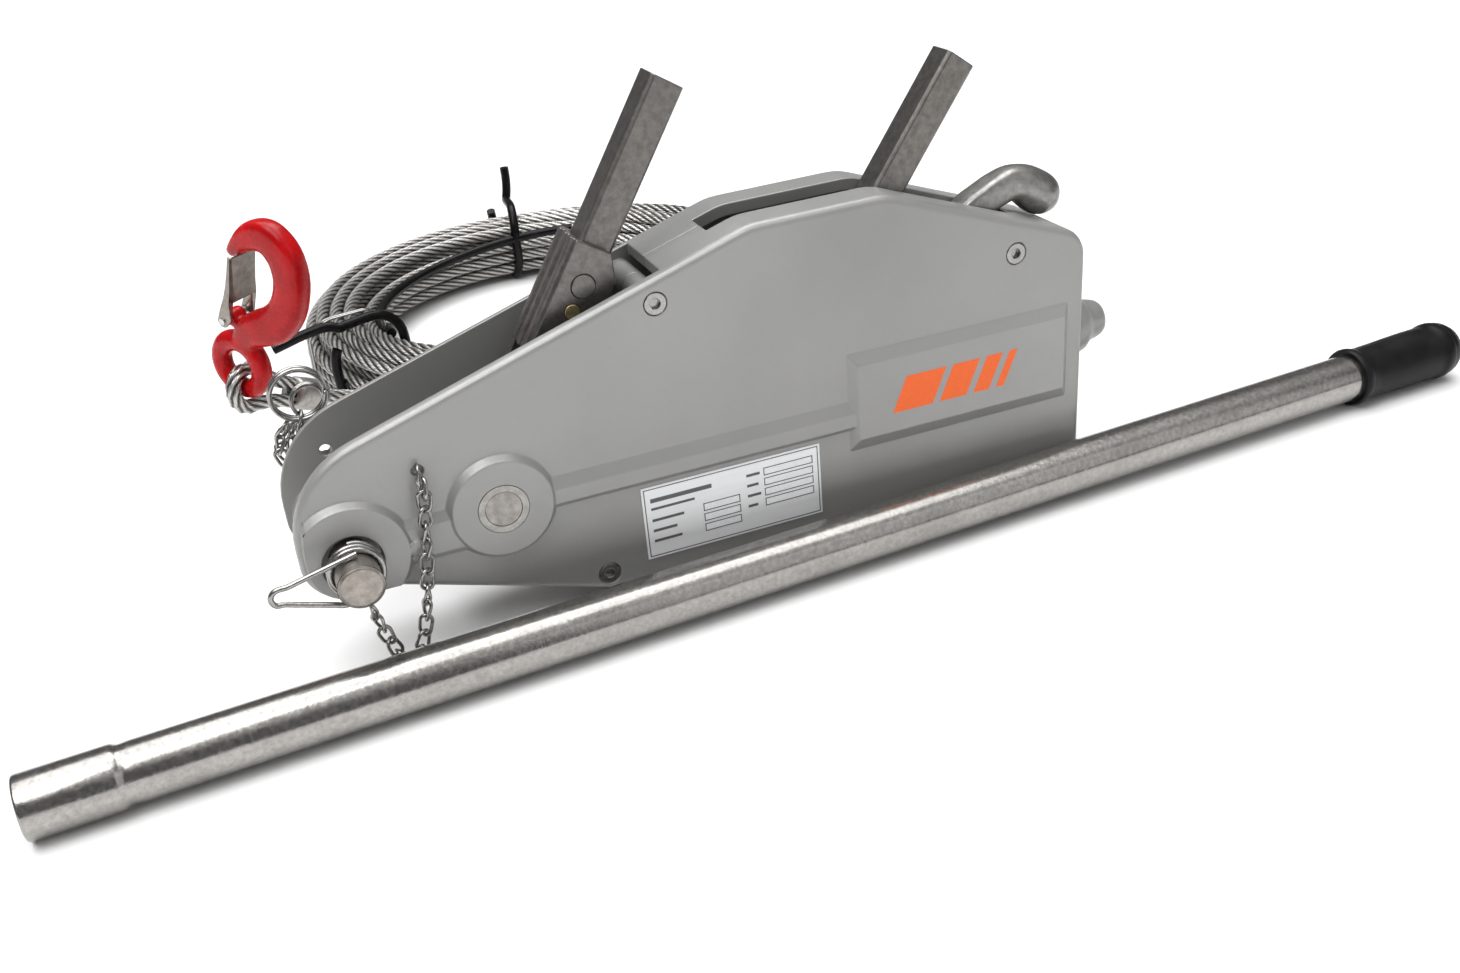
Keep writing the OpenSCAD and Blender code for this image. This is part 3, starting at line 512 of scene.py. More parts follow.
def coil_turns():
    """Turns of the coil, settled so that they lie beside and on each other."""
    rng = np.random.default_rng(7)
    places = slots()
    i = np.arange(int(TURNS * PER_TURN))
    angle = FIRST_ANGLE - 360.0 * i / PER_TURN
    k = i / PER_TURN
    low = np.minimum(k.astype(int), len(places) - 1)
    high = np.minimum(low + 1, len(places) - 1)
    f = k - low
    f = np.clip((f - 0.25) / 0.5, 0, 1)
    f = f * f * (3 - 2 * f)
    p = places[low] * (1 - f)[:, None] + places[high] * f[:, None]
    # the bundle twists and wanders a little round the ring
    around = np.radians(angle)
    twist = 0.42 * np.sin(around + 0.6) + 0.25 * np.sin(2 * around + 2.0)
    mid = np.array([0.0, COIL_LIFT + COIL_SIZE / 2])
    q = p - mid
    c, s = np.cos(twist), np.sin(twist)
    p = np.stack([q[:, 0] * c - q[:, 1] * s, q[:, 0] * s + q[:, 1] * c], 1) + mid
    for wave in range(1, 5):
        for axis in (0, 1):
            size = rng.normal(0, 1.5 / wave, 24)
            phase = rng.uniform(0, 2 * math.pi, 24)
            turn = np.minimum(k.astype(int), 22)
            nxt = np.minimum(turn + 1, 23)
            g = k - turn
            g = g * g * (3 - 2 * g)
            wave_at = lambda t: size[t] * np.sin(wave * around + phase[t])
            p[:, axis] += wave_at(turn) * (1 - g) + wave_at(nxt) * g
    # turns that share a station push each other apart and sink to the floor
    station = i % PER_TURN
    groups = [np.where(station == s)[0] for s in range(PER_TURN)]
    for step in range(SETTLE_STEPS):
        p[:, 1] -= 0.05
        for g in groups:
            d = p[g][:, None, :] - p[g][None, :, :]
            far = np.linalg.norm(d, axis=2)
            np.fill_diagonal(far, 99)
            near = np.clip(ROPE_D + 0.05 - far, 0, None)
            push = (d / np.maximum(far, 1e-6)[:, :, None]) * near[:, :, None] * 0.32
            p[g] += push.sum(1)
        tied = sum(np.exp(-(((angle - a + 180) % 360 - 180) / 12) ** 2) for a in PINCHED_AT)
        half = COIL_SIZE / 2 - ROPE_R + 1.6 * (1 - tied)
        p[:, 0] = np.clip(p[:, 0], -half, half)
        floor = COIL_LIFT * np.clip(tied * 1.4, 0, 1) + ROPE_R + 0.4
        p[:, 1] = np.clip(p[:, 1], floor, COIL_TOP - ROPE_R + 0.4 * (1 - tied))
        inner = p.copy()
        inner[1:-1] = 0.5 * p[1:-1] + 0.25 * (p[:-2] + p[2:])
        p = inner if step < SETTLE_STEPS - 10 else p * 0.6 + inner * 0.4
    return np.array([on_ring(a, z, r) for a, (r, z) in zip(angle, p)])


def bezier(a, b, c, d, n):
    """n points of the curve from a to d that b and c pull on."""
    t = np.linspace(0, 1, n)[:, None]
    return a * (1 - t) ** 3 + 3 * b * t * (1 - t) ** 2 + 3 * c * t * t * (1 - t) + d * t ** 3


def smooth_line(points, step):
    """A smooth line through the points, with new points about step apart."""
    p = np.asarray(points, float)
    t = np.concatenate([[0], np.cumsum(np.linalg.norm(np.diff(p, axis=0), axis=1))])
    keep = np.concatenate([[True], np.diff(t) > 1e-6])
    p, t = p[keep], t[keep]
    slope = np.gradient(p, t, axis=0)
    new = np.linspace(0, t[-1], int(math.ceil(t[-1] / step)) + 1)
    j = np.clip(np.searchsorted(t, new, side="right") - 1, 0, len(t) - 2)
    h = (t[j + 1] - t[j])[:, None]
    s = (new - t[j])[:, None] / h
    h00, h10 = 2 * s ** 3 - 3 * s ** 2 + 1, s ** 3 - 2 * s ** 2 + s
    h01, h11 = -2 * s ** 3 + 3 * s ** 2, s ** 3 - s ** 2
    return h00 * p[j] + h10 * h * slope[j] + h01 * p[j + 1] + h11 * h * slope[j + 1]


def rope_route():
    """The whole rope, in millimetres: the eye in the hook, the lead, the coil and the free end."""
    eye = [EYE_LOW + LEAD_WAY * (FERRULE[0] + 2) - LEAD_SIDE * 4.2]
    for i in range(21):
        a = math.radians(-120 + 12 * i)
        eye.append(EYE_LOW - LEAD_WAY * EYE_ROUND * math.cos(a) + LEAD_SIDE * EYE_ROUND * math.sin(a))
    eye.append(EYE_LOW + LEAD_WAY * (FERRULE[0] - 1) + LEAD_SIDE * 4.3)
    eye.append(EYE_LOW + LEAD_WAY * (FERRULE[0] + 9) + LEAD_SIDE * 2.2)
    out = EYE_LOW + LEAD_WAY * (sum(FERRULE) - 2)
    meet = on_ring(LEAD_END, 30, 28)
    a = math.radians(LEAD_END)
    heading = np.array([math.sin(a), -math.cos(a), 0])
    lead = list(bezier(out, out + LEAD_WAY * 24, meet - heading * 24, meet, 12))
    turns = coil_turns()
    # the last turn climbs out of the bundle on to its top
    climb = [on_ring(*p) for p in ((327, 42.5, -20.8), (321, 48.5, -20.2), (315, 53.8, -16.5),
                                   (310, 56.8, -11), (305, 57.4, -6.5))]
    tip = climb + [on_ring(a, COIL_TOP + ROPE_R + 0.4, -3.5) for a in range(300, 260, -4)]
    settle = [on_ring(LEAD_END - 4, 29.5, 25)]
    return np.array(eye + lead + settle + list(turns) + tip)


rope_line = smooth_line([at(*p) for p in rope_route()], 0.0047)


STRAND_SHAPE = (1.0, 0.93, 0.70, 0.93)  # radius over each strand: crown, flank, valley, flank


def rope_mesh(line):
    """The rope with its strands laid round it."""
    _, u, v = frames_along(line)
    along = np.concatenate([[0], np.cumsum(np.linalg.norm(np.diff(line, axis=0), axis=1))])
    per_strand = len(STRAND_SHAPE)
    sides = STRANDS * per_strand
    verts = np.zeros((len(line), sides, 3))
    for k in range(sides):
        a = 2 * math.pi * k / sides + 2 * math.pi * along / LAY
        r = ROPE_R * 1.03 * MM * STRAND_SHAPE[k % per_strand]
        verts[:, k] = line + r * (np.cos(a)[:, None] * u + np.sin(a)[:, None] * v)
    quads = ring_faces(len(line), sides)
    obj = new_piece("rope", verts.reshape(-1, 3), quads + end_caps(len(line), sides), ROPE)
    layer = obj.data.uv_layers.new(name="along")
    uv = np.zeros((len(obj.data.loops), 2), np.float32)
    ring, side = np.divmod(np.array([lp.vertex_index for lp in obj.data.loops]), sides)
    count = len(quads) * 4
    uv[:, 1] = along[ring]
    uv[:, 0] = side / sides
    corner = np.arange(count) % 4
    wraps = (uv[:count, 0] == 0) & ((corner == 1) | (corner == 2))
    uv[:count, 0][wraps] = 1.0
    layer.data.foreach_set("uv", uv.ravel())
    return obj


rope = rope_mesh(rope_line)
stand_for(rope, "rope_coil", "rope_lead", slot="rope")


def rope_end():
    """The brazed point at the rope's free end."""
    end, way = rope_line[-1], unit(rope_line[-1] - rope_line[-3])
    profile = [(-7, 0.2), (-7, 4.25), (-6.4, 4.75), (5, 4.75), (9, 4.4), (15, 3.2), (19, 2.2),
               (20.5, 1.2), (20.8, 0.02)]
    v, f = lathe(profile, end, way, 32)
    obj = sharpen(new_piece("rope_point", v, f, BRASS))
    return stand_for(obj, "rope_tip", slot="rope")


rope_point = rope_end()


def ferrule():
    """The sleeve pressed on the rope below its eye."""
    start = at(*(EYE_LOW + LEAD_WAY * FERRULE[0]))
    r, l = 9.3, FERRULE[1]
    profile = [(0, 4.0), (0, r - 1.6), (0.6, r - 0.5), (1.8, r), (l * 0.5, r + 0.1), (l - 4, r - 0.3),
               (l - 1, r - 2.2), (l, 4.6), (l, 4.0)]
    v, f = lathe(profile, start, LEAD_WAY, 40)
    obj = sharpen(new_piece("ferrule", v, f, INNER), 50)
    return stand_for(obj, "rope_ferrule", slot="zinc")


ferrule_look = ferrule()


# ---------------------------------------------------------------- hook
LATCH_PIVOT = (-8.3, 27.5)


def hook_point(x, z, y=0.0):
    """A point in the hook's own plane, x across and z along from the eye's middle, in millimetres."""
    h = x * math.cos(HOOK_LEAN) + z * math.sin(HOOK_LEAN)
    up = z * math.cos(HOOK_LEAN) - x * math.sin(HOOK_LEAN)
    flat = np.array([math.cos(HOOK_TURN), math.sin(HOOK_TURN), 0])
    p = HOOK_AT + flat * h + np.array([0, 0, up]) + HOOK_NORMAL * y
    return at(*p)


# x, z, half height and half thickness of the section
HOOK_LINE = [(0, 12, 7.2, 5.6), (1.2, 18, 7.8, 6.0), (4.2, 25, 9.0, 6.6), (10.5, 31.5, 10.2, 7.0),
             (18.2, 39, 10.6, 7.1), (23.2, 49, 10.0, 7.0), (24.6, 61, 9.6, 6.8), (22.2, 73, 9.9, 6.8),
             (15.5, 82, 10.2, 6.8), (6.5, 85.2, 9.6, 6.6), (-1.5, 82.4, 8.2, 6.2), (-7.4, 76.6, 6.4, 5.8),
             (-11.4, 70.6, 4.6, 5.2), (-14.2, 66.0, 3.4, 4.4), (-15.4, 64.0, 2.6, 3.4)]
SECTION_SIDES = 28


def swept(points, high, thick, power, place, slim=0.0):
    """A bar along a plane line, with its half height and half thickness at each point, squarish where
    power is low. place turns plane coordinates x, z and a distance off the plane into a point, and slim
    thins the side at +normal."""
    table = np.column_stack([points, high, thick, power]).astype(float)
    fine = smooth_line(table[:, :2], 1.5)
    dist = np.concatenate([[0], np.cumsum(np.linalg.norm(np.diff(table[:, :2], axis=0), axis=1))])
    there = np.concatenate([[0], np.cumsum(np.linalg.norm(np.diff(fine, axis=0), axis=1))])
    there *= dist[-1] / there[-1]
    size = np.array([np.interp(there, dist, table[:, c]) for c in (2, 3, 4)])
    for _ in range(3):
        size[:, 1:-1] = (size[:, :-2] + size[:, 1:-1] + size[:, 2:]) / 3
    d = np.gradient(fine, axis=0)
    d /= np.linalg.norm(d, axis=1)[:, None]
    verts = []
    for (x, z), (dx, dz), w, t, q in zip(fine, d, *size):
        for k in range(SECTION_SIDES):
            c, s = math.cos(2 * math.pi * k / SECTION_SIDES), math.sin(2 * math.pi * k / SECTION_SIDES)
            cw, st = math.copysign(abs(c) ** q, c), math.copysign(abs(s) ** q, s)
            verts.append(place(x - dz * w * cw, z + dx * w * cw, t * st * (1 - slim * (c + 1) / 2)))
    n = len(fine)
    return verts, ring_faces(n, SECTION_SIDES) + end_caps(n, SECTION_SIDES)


def forged(name, parts, mat, voxel, rounds, node, slot):
    """Overlapping shapes run into one solid with soft joints."""
    obj = sharpen(new_piece(name, *joined(parts), mat), 180)
    remesh = obj.modifiers.new("blend", "REMESH")
    remesh.mode = "VOXEL"
    remesh.voxel_size = voxel * MM
    soft = obj.modifiers.new("soft", "SMOOTH")
    soft.factor = 0.5
    soft.iterations = rounds
    apply_modifiers(obj)
    for p in obj.data.polygons:
        p.use_smooth = True
    return stand_for(obj, node, slot=slot)


def hook_solid():
    """Forged hook: flattened sections along the bowl, joined to a ring eye and an ear for the latch."""
    table = np.array(HOOK_LINE, float)
    bowl = swept(table[:, :2], table[:, 2], table[:, 3], np.full(len(table), 0.62), hook_point, 0.16)
    rows, sides = 64, 24
    eye = []
    for i in range(rows):
        a = 2 * math.pi * i / rows
        grow = 1 + 0.12 * max(0.0, math.sin(a))
        for k in range(sides):
            b = 2 * math.pi * k / sides
            r = EYE_MEAN + 5.5 * math.cos(b) * grow
            eye.append(hook_point(r * math.cos(a), r * math.sin(a), 5.4 * math.sin(b)))
    ear_profile = ((1.9, -4.6), (4.2, -4.6), (4.7, -4.0), (4.7, 4.0), (4.2, 4.6), (1.9, 4.6))
    ear = []
    for r, y in ear_profile:
        for k in range(SECTION_SIDES):
            a = 2 * math.pi * k / SECTION_SIDES
            ear.append(hook_point(LATCH_PIVOT[0] + r * math.cos(a), LATCH_PIVOT[1] + r * math.sin(a), y))
    parts = [bowl, (eye, ring_faces(rows, sides, True)),
             (ear, ring_faces(len(ear_profile), SECTION_SIDES, True))]
    return forged("hook", parts, RED, 0.9, 9, "hook_body", "hook_red")


hook = hook_solid()


def hook_latch():
    """Spring latch bent from one sheet: a plate above a window, and a cheek down each side to the pin."""
    root, top, side = 14.0, 39.5, 8.3
    x0, z0 = LATCH_PIVOT

    def front(z):
        return x0 + 3.2 - math.tan(math.radians(8.5)) * (z - root)
    cheek = [(x0 + 3.6 * math.cos(a), z0 + 3.6 * math.sin(a)) for a in np.radians(range(190, 351, 20))]
    rim = [(front(z), z0 + z) for z in (3.0, root, 22.0, 30.0, top)]
    widths = ((top, 1.6), (30.0, 2.4), (22.0, 3.4), (root, 5.0), (6.0, 7.4))
    back = [(front(z) - w, z0 + z) for z, w in widths]
    outline = cheek + rim + back
    verts, faces, n = [], [], len(outline)
    for y in (-side, side):
        verts += [hook_point(x, z, y) for x, z in outline]
        faces.append(tuple(range(len(verts) - n, len(verts))))
    first = len(cheek) + 1
    faces += [(k, k + 1, n + k + 1, n + k) for k in range(first, first + 3)]
    obj = new_piece("latch", verts, faces, LATCH)
    sheet = obj.modifiers.new("sheet", "SOLIDIFY")
    sheet.thickness = 1.3 * MM
    sheet.offset = 0
    sheet.use_even_offset = True
    edge = obj.modifiers.new("edge", "BEVEL")
    edge.width = 0.35 * MM
    edge.segments = 2
    edge.angle_limit = math.radians(40)
    apply_modifiers(obj)
    return stand_for(sharpen(obj, 40), "hook_latch", slot="zinc")


hook_latch()
repaint("latch_pin", ZINC)
repaint("latch_spring", ZINC)

tuple(rope_line[0])


# ---------------------------------------------------------------- body and levers
for node in ("housing_front", "housing_rear"):
    refined(node, CAST, 0.6, 3, slot="cast")
refined("forward_crank", CRANK, 0.7, 2, slot="steel")
refined("forward_bar", LEVER, 0.5, 2, slot="steel")
refined("reverse_lever", LEVER, 0.5, 2, slot="steel")
for node in ("rear_carriage", "front_carriage"):
    refined(node, INNER, 0.3, 1, slot="steel")
refined("bar_rivet", CRANK, 0.5, 2, slot="steel")
refined("shear_pin", BRASS, 0.4, 2, slot="brass")
refined("anchor_pin", PIN, 0.5, 2, slot="steel")
for node in ("axle_front", "axle_rear"):
    refined(node, ROUGH_END, 0.4, 2, slot="steel")
for node in ("axle_clip_front", "axle_clip_rear"):
    repaint(node, INNER)
for node in ("screw_top", "screw_end", "screw_base"):
    refined(node, WIRE, 0.35, 2, 30, slot="zinc")
for node in ("throw_pin_upper", "throw_pin_lower", "reverse_axle", "reverse_throw_pin", "release_axle",
             "rear_jaw_lower", "rear_jaw_upper", "front_jaw_lower", "front_jaw_upper",
             "rear_jaw_spring", "front_jaw_spring"):
    repaint(node, ZINC)
repaint("rating_plate", LABEL)


# ---------------------------------------------------------------- loose tube, grip and rope guide
TUBE_AT = at(-125, -72, 14)
TUBE_TURN = math.radians(3.2)
TUBE_RISE = math.asin((16.4 - 14) / 780)  # the mouth and the grip rest on the floor
TUBE_WAY = np.array([math.cos(TUBE_TURN) * math.cos(TUBE_RISE),
                     math.sin(TUBE_TURN) * math.cos(TUBE_RISE), math.sin(TUBE_RISE)])


def turned(name, profile, start, way, mat, node, slot, sides=96):
    """A turned piece whose closed profile stands for a CAD node."""
    v, f = lathe(profile, start, way, sides, True)
    return stand_for(sharpen(new_piece(name, v, f, mat), 40), node, slot=slot)


def dome(h, r, high):
    """Profile points of a rounded end that starts at height h with radius r."""
    return [(h + high * math.sin(a), r * math.cos(a)) for a in np.linspace(0.15, math.pi / 2 - 0.02, 9)]


# distance along the axis and radius, in millimetres
TUBE_PROFILE = [(0, 12.0), (0, 13.2), (0.35, 13.75), (1.1, 14.0), (36.6, 14.0), (37.6, 13.85),
                (38.6, 13.25), (39.8, 12.85), (41.2, 12.85), (42.6, 13.0), (44.5, 13.1), (250, 13.1),
                (500, 13.1), (774, 13.1), (774, 12.0), (500, 12.0), (250, 12.0)]
GRIP_PROFILE = [(699.5, 13.12), (699.5, 15.4), (700.2, 16.0), (701.4, 16.3), (703.4, 16.2), (704.6, 15.6),
                (706.5, 15.0), (712, 14.85), (722, 14.95), (735, 15.3), (748, 15.5), (757, 15.4),
                (760.6, 15.5), (762.2, 16.1), (763.6, 16.4), (766.6, 16.35), (767.8, 15.9), (768.3, 15.7)]
GRIP_PROFILE += dome(768.6, 15.7, 11.2) + [(779.6, 0.3), (775.2, 0.3), (775.2, 13.12)]
GUIDE_PROFILE = [(0, 5.3), (0, 10.9), (20.2, 10.9), (20.2, 14.6), (20.8, 15.5), (22.4, 15.95), (26, 16.0),
                 (31, 15.9), (33.6, 15.2), (35.6, 13.6), (37.4, 12.1), (39.6, 11.3), (43, 10.6), (46, 9.7),
                 (47.6, 8.6), (48, 7.2), (47.6, 5.9), (46, 5.3)]
turned("tube", TUBE_PROFILE, TUBE_AT, TUBE_WAY, TUBE, "handle_tube", "tube")
turned("grip", GRIP_PROFILE, TUBE_AT, TUBE_WAY, RUBBER, "handle_grip", "grip")
turned("guide_ring", GUIDE_PROFILE, at(378, 0, 75), (1, 0, 0), CAST, "rope_guide", "cast", 72)


# ---------------------------------------------------------------- pins, wire and chains
PIN_MID = np.array([22.0, 0, 60.5])
BAIL_WIRE = 1.3
BAIL_R = 9.75 + BAIL_WIRE + 0.3
BAIL_Y = -45.5
BAIL_TURNS = 2.47
CHAIN_WIRE = 1.7
LINK_LENGTH = 11.4
LINK_WIDTH = 7.2
LINK_TWIST = 0.40
LINK_GAP = LINK_LENGTH - 2 * CHAIN_WIRE - 0.5


def pin_bail():
    """Spring bail: turns round the pin, then a long D out to the side."""
    def round_pin(a, y):
        return PIN_MID + [BAIL_R * math.cos(math.radians(a)), y, BAIL_R * math.sin(math.radians(a))]
    line = [round_pin(95 - i * 360 * BAIL_TURNS / 60, BAIL_Y + 11.6 - 8 * i / 60) for i in range(61)]
    line.append(PIN_MID + [-3, BAIL_Y + 1.6, -BAIL_R * 0.99])
    side = np.linspace(0, 1, 7)
    line += [PIN_MID + [-BAIL_R * 0.7 - t * 24, BAIL_Y + 0.6 * t, -BAIL_R * 0.95 + t * 7.5] for t in side]
    for i in range(1, 6):
        a = math.radians(-100 - i * 28)
        line.append(PIN_MID + [-32.6 + 4 * math.cos(a), BAIL_Y + 0.6, 0.2 + 4 * math.sin(a)])
    line += [PIN_MID + [-29 + t * 30.5, BAIL_Y + 0.6 - 0.3 * t, 4.4 + t * (BAIL_R - 3.9)] for t in side]
    fine = smooth_line([at(*p) for p in line], 0.0011)
    v, f = tube_mesh(fine, BAIL_WIRE * MM, 14)
    return stand_for(sharpen(new_piece("bail", v, f, WIRE), 50), "pin_bail", slot="zinc")


def link_line(a, b, turn):
    """Middle line of one twisted oval link between two points of a chain, in millimetres."""
    way = unit(b - a)
    u = unit(np.cross(way, [0, 0, 1.0] if abs(way[2]) < 0.9 else [1.0, 0, 0]))
    v = np.cross(way, u)
    r, h = (LINK_WIDTH - CHAIN_WIRE) / 2, (LINK_LENGTH - LINK_WIDTH) / 2
    line = []
    for end in (1, -1):
        for k in range(9):
            t = math.pi * k / 8
            x, z = end * r * math.cos(t), end * (h + r * math.sin(t))
            w = turn + LINK_TWIST * z / (h + r)
            line.append((a + b) / 2 + way * z + (u * math.cos(w) + v * math.sin(w)) * x)
    return np.array(line)


def chain_parts(points):
    """Links between the points, each turned across the one before."""
    parts = []
    for i, (a, b) in enumerate(zip(points[:-1], points[1:])):
        line = link_line(a, b, 0.35 + i * (math.pi / 2 + 2 * LINK_TWIST))
        parts.append(tube_mesh([at(*p) for p in line], CHAIN_WIRE / 2 * MM, 10, closed=True))
    return parts


def hanging(a, b, sag, gap):
    """Points one gap apart on a hanging curve."""
    a, b = np.array(a, float), np.array(b, float)
    t = np.linspace(0, 1, 400)[:, None]
    fine = a + (b - a) * t - np.array([0, 0, 4 * sag]) * t * (1 - t)
    points = [fine[0]]
    for p in fine:
        far = np.linalg.norm(p - points[-1])
        if far >= gap:
            points.append(points[-1] + (p - points[-1]) / far * gap)
    return points


def pin_chain():
    """Chain from its hole in the near shell, out over the face and down to the pin."""
    out = hanging((57, -30, 97.5), (57, -33.4, 90), 0, LINK_GAP)
    down = hanging((57, -34.6, 87), (24, BAIL_Y + 3, 46), 55, LINK_GAP)
    v, f = joined(chain_parts(out + down))
    return stand_for(new_piece("chain", v, f, WIRE), "pin_chain", slot="zinc")


def ring_parts(mid, r, wire, way):
    """A split ring: wire wound round twice, in millimetres."""
    steps = 40
    way = unit(way)
    u = unit(np.cross(way, [0, 0, 1.0]))
    v = np.cross(way, u)
    line = []
    for i in range(2 * steps + 1):
        a = 2 * math.pi * i / steps
        out = (u * math.cos(a) + v * math.sin(a)) * r
        line.append(at(*(np.array(mid) + out + way * wire * 2.1 * i / steps)))
    return tube_mesh(line, wire * MM, 10)


def rear_rings():
    """A large split ring behind the far shell and a smaller one on it."""
    v, f = joined([ring_parts((18.3, 33.2, 116), 12.2, 1.15, (0, 1, 0.08)),
                   ring_parts((22.6, 38.2, 110.4), 7.6, 0.95, (-0.08, 1, -0.06))])
    return stand_for(new_piece("rings", v, f, WIRE), "rear_ring", slot="zinc")


def rear_chain():
    """Spare links that bunch up below the rings and hang down behind the far shell."""
    parts = chain_parts(hanging((18, 37, 106), (7, 36.5, 60), 2, LINK_GAP))
    for bunch in (((24, 39, 104), (17.6, 41, 99.6), (12.6, 40, 93.7), (10.5, 40.6, 86.2),
                   (12.6, 40.4, 78.8)),
                  ((10.5, 36.6, 103), (6.5, 38.5, 96.6), (4.6, 38, 89.4), (6.2, 37.6, 82)),
                  ((15, 43, 101), (9.4, 44.5, 96.2), (5.5, 43, 90.2), (7.4, 42, 83.2))):
        parts += chain_parts([np.array(p, float) for p in bunch])
    v, f = joined(parts)
    return stand_for(new_piece("spare_chain", v, f, WIRE), "rear_chain", slot="zinc")


pin_bail()
pin_chain()
rear_rings()
rear_chain()


# ---------------------------------------------------------------- forged release lever
RELEASE_AT = (338, 122)
# x, z, half height, half thickness and roundness of the section
RELEASE_LINE = [(0, 0, 7.4, 7.2, 0.6), (0.2, 12, 7.4, 7.2, 0.45), (2.2, 20.5, 7.3, 7.4, 0.36),
                (9, 27, 7.3, 7.6, 0.34), (17, 31, 7.3, 7.6, 0.34), (25.5, 34.6, 7.6, 7.6, 0.42),
                (32.5, 36.2, 8.2, 7.9, 0.6), (39, 34.6, 9.8, 9.2, 0.9), (46.0, 30.2, 11.0, 10.4, 1.0),
                (51.4, 26.4, 10.8, 10.4, 1.0), (55.2, 23.4, 8.6, 8.4, 1.0), (57.6, 21.6, 4.4, 4.4, 1.0)]


def release_lever():
    """Forged lever: a square arm that rises out of the slot, a round elbow and a drooping knob."""
    def place(x, z, y=0.0):
        return at(RELEASE_AT[0] + x, y, RELEASE_AT[1] + z)
    table = np.array(RELEASE_LINE)
    arm = swept(table[:, :2], table[:, 2], table[:, 3], table[:, 4], place)
    hub = lathe([(0, 5.1), (0, 9.4), (0.6, 10), (42.2, 10), (42.8, 9.4), (42.8, 5.1)],
                place(0, 0, -21.4), (0, 1, 0), 48, True)
    outline = [(-24, 30), (4, 22), (6, 30), (-24, 37)]
    flat = ([place(x, z, y) for y in (-3, 3) for x, z in outline],
            [(0, 1, 2, 3), (7, 6, 5, 4)] + [(k, 4 + k, 4 + (k + 1) % 4, (k + 1) % 4) for k in range(4)])
    return forged("release_look", [arm, hub, flat], FORGED, 0.9, 5, "release_lever", "forged")


release_lever()


# ---------------------------------------------------------------- ties round the coil
BUNDLE_CORNER = 15
HOSE_SIDES = 18
FRONT_HOSE = 3.2
REAR_HOSE = 3.4


def round_bundle(angle, r):
    """A closed band round the bundle of turns at an angle of the ring, in millimetres."""
    half, corner = COIL_SIZE / 2 + r, BUNDLE_CORNER + r
    steps = 48
    line = []
    for i in range(steps):
        a = 2 * math.pi * i / steps
        c, s = math.cos(a), math.sin(a)
        sx, sz = (half - corner) * (1 if c > 0 else -1), (half - corner) * (1 if s > 0 else -1)
        line.append((angle, COIL_LIFT + COIL_SIZE / 2 + sz + corner * s, sx + corner * c))
    return line


def ring_line(points, step):
    """A smooth line through places given as on_ring takes them."""
    return smooth_line([at(*on_ring(*p)) for p in points], step)


def laid(points, radius):
    """Keep a hose's middle line above the floor."""
    return [(a, max(z, radius + 0.3), r) for a, z, r in points]


def drifted(band, most):
    """Let a band wander round the ring, by most degrees in all, so that its ends pass each other."""
    return [(a + most * i / len(band), z, r) for i, (a, z, r) in enumerate(band)]


def hollow_end(line, radius, hole):
    """A hose whose first end is cut open."""
    v, f = tube_mesh(line, radius * MM, HOSE_SIDES, cap=False)
    inner_v, inner_f = tube_mesh(line[:8], hole * MM, HOSE_SIDES, cap=False)
    n = len(v)
    faces = f + [tuple(i + n for i in face[::-1]) for face in inner_f]
    faces += [(k, (k + 1) % HOSE_SIDES, n + (k + 1) % HOSE_SIDES, n + k) for k in range(HOSE_SIDES)]
    return list(v) + list(inner_v), faces


def front_tie():
    """Black hose round the bundle whose open end stands out beside the hook."""
    band = round_bundle(200, 2.9)
    wrap = drifted(band[10:] + band[:5], 4.0)
    first = [(195.4, 49.5, 54), (196.2, 52, 46), (197.8, 56, 33), (199.3, 57.4, 20)]
    line = ring_line(laid(first + wrap, FRONT_HOSE), 0.002)
    v, f = hollow_end(line, FRONT_HOSE, FRONT_HOSE - 1)
    return stand_for(sharpen(new_piece("front_tie", v, f, HOSE), 50), "coil_tie_front", slot="tie")


def rear_tie():
    """Black hose round the bundle whose end stands up behind it."""
    band = round_bundle(86, 2.9)
    wrap = drifted(band[11:] + band[:4], 4.0)
    first = [(85.0, 80, 16), (85.0, 71, 15.6), (85.4, 62.5, 13.5)]
    line = ring_line(laid(first + wrap, REAR_HOSE), 0.002)
    v, f = tube_mesh(line, REAR_HOSE * MM, HOSE_SIDES)
    return stand_for(sharpen(new_piece("rear_tie", v, f, HOSE), 50), "coil_tie_rear", slot="tie")


def hose_strip():
    """A length of black hose that lies over the inner turns."""
    line = ring_line([(a, 35 + 6 * math.sin(math.radians(a * 1.6 + 40)), -27.2)
                      for a in range(192, 62, -6)], 0.003)
    v, f = tube_mesh(line, 3.3 * MM, HOSE_SIDES)
    obj = sharpen(new_piece("hose_strip", v, f, HOSE), 50)
    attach(obj, body_of["rope_coil"])
    return obj


def binding():
    """Two turns of thin wire round the bundle."""
    parts = []
    for angle, wander in ((187, 4.0), (189, 3.0)):
        band = round_bundle(angle, 1.3)
        line = [(a + wander * math.sin(2 * math.pi * i / len(band)), z, r)
                for i, (a, z, r) in enumerate(band)]
        parts.append(tube_mesh(np.array([at(*on_ring(*p)) for p in line]), 0.8 * MM, 8, closed=True))
    v, f = joined(parts)
    return stand_for(new_piece("binding", v, f, WIRE), "coil_binding", slot="zinc")


front_tie()
rear_tie()
hose_strip()
binding()


# ---------------------------------------------------------------- label and mark
LABEL_FACE = -28.4
PANEL_FACE = -31.6
PRINT_THICK = 0.06


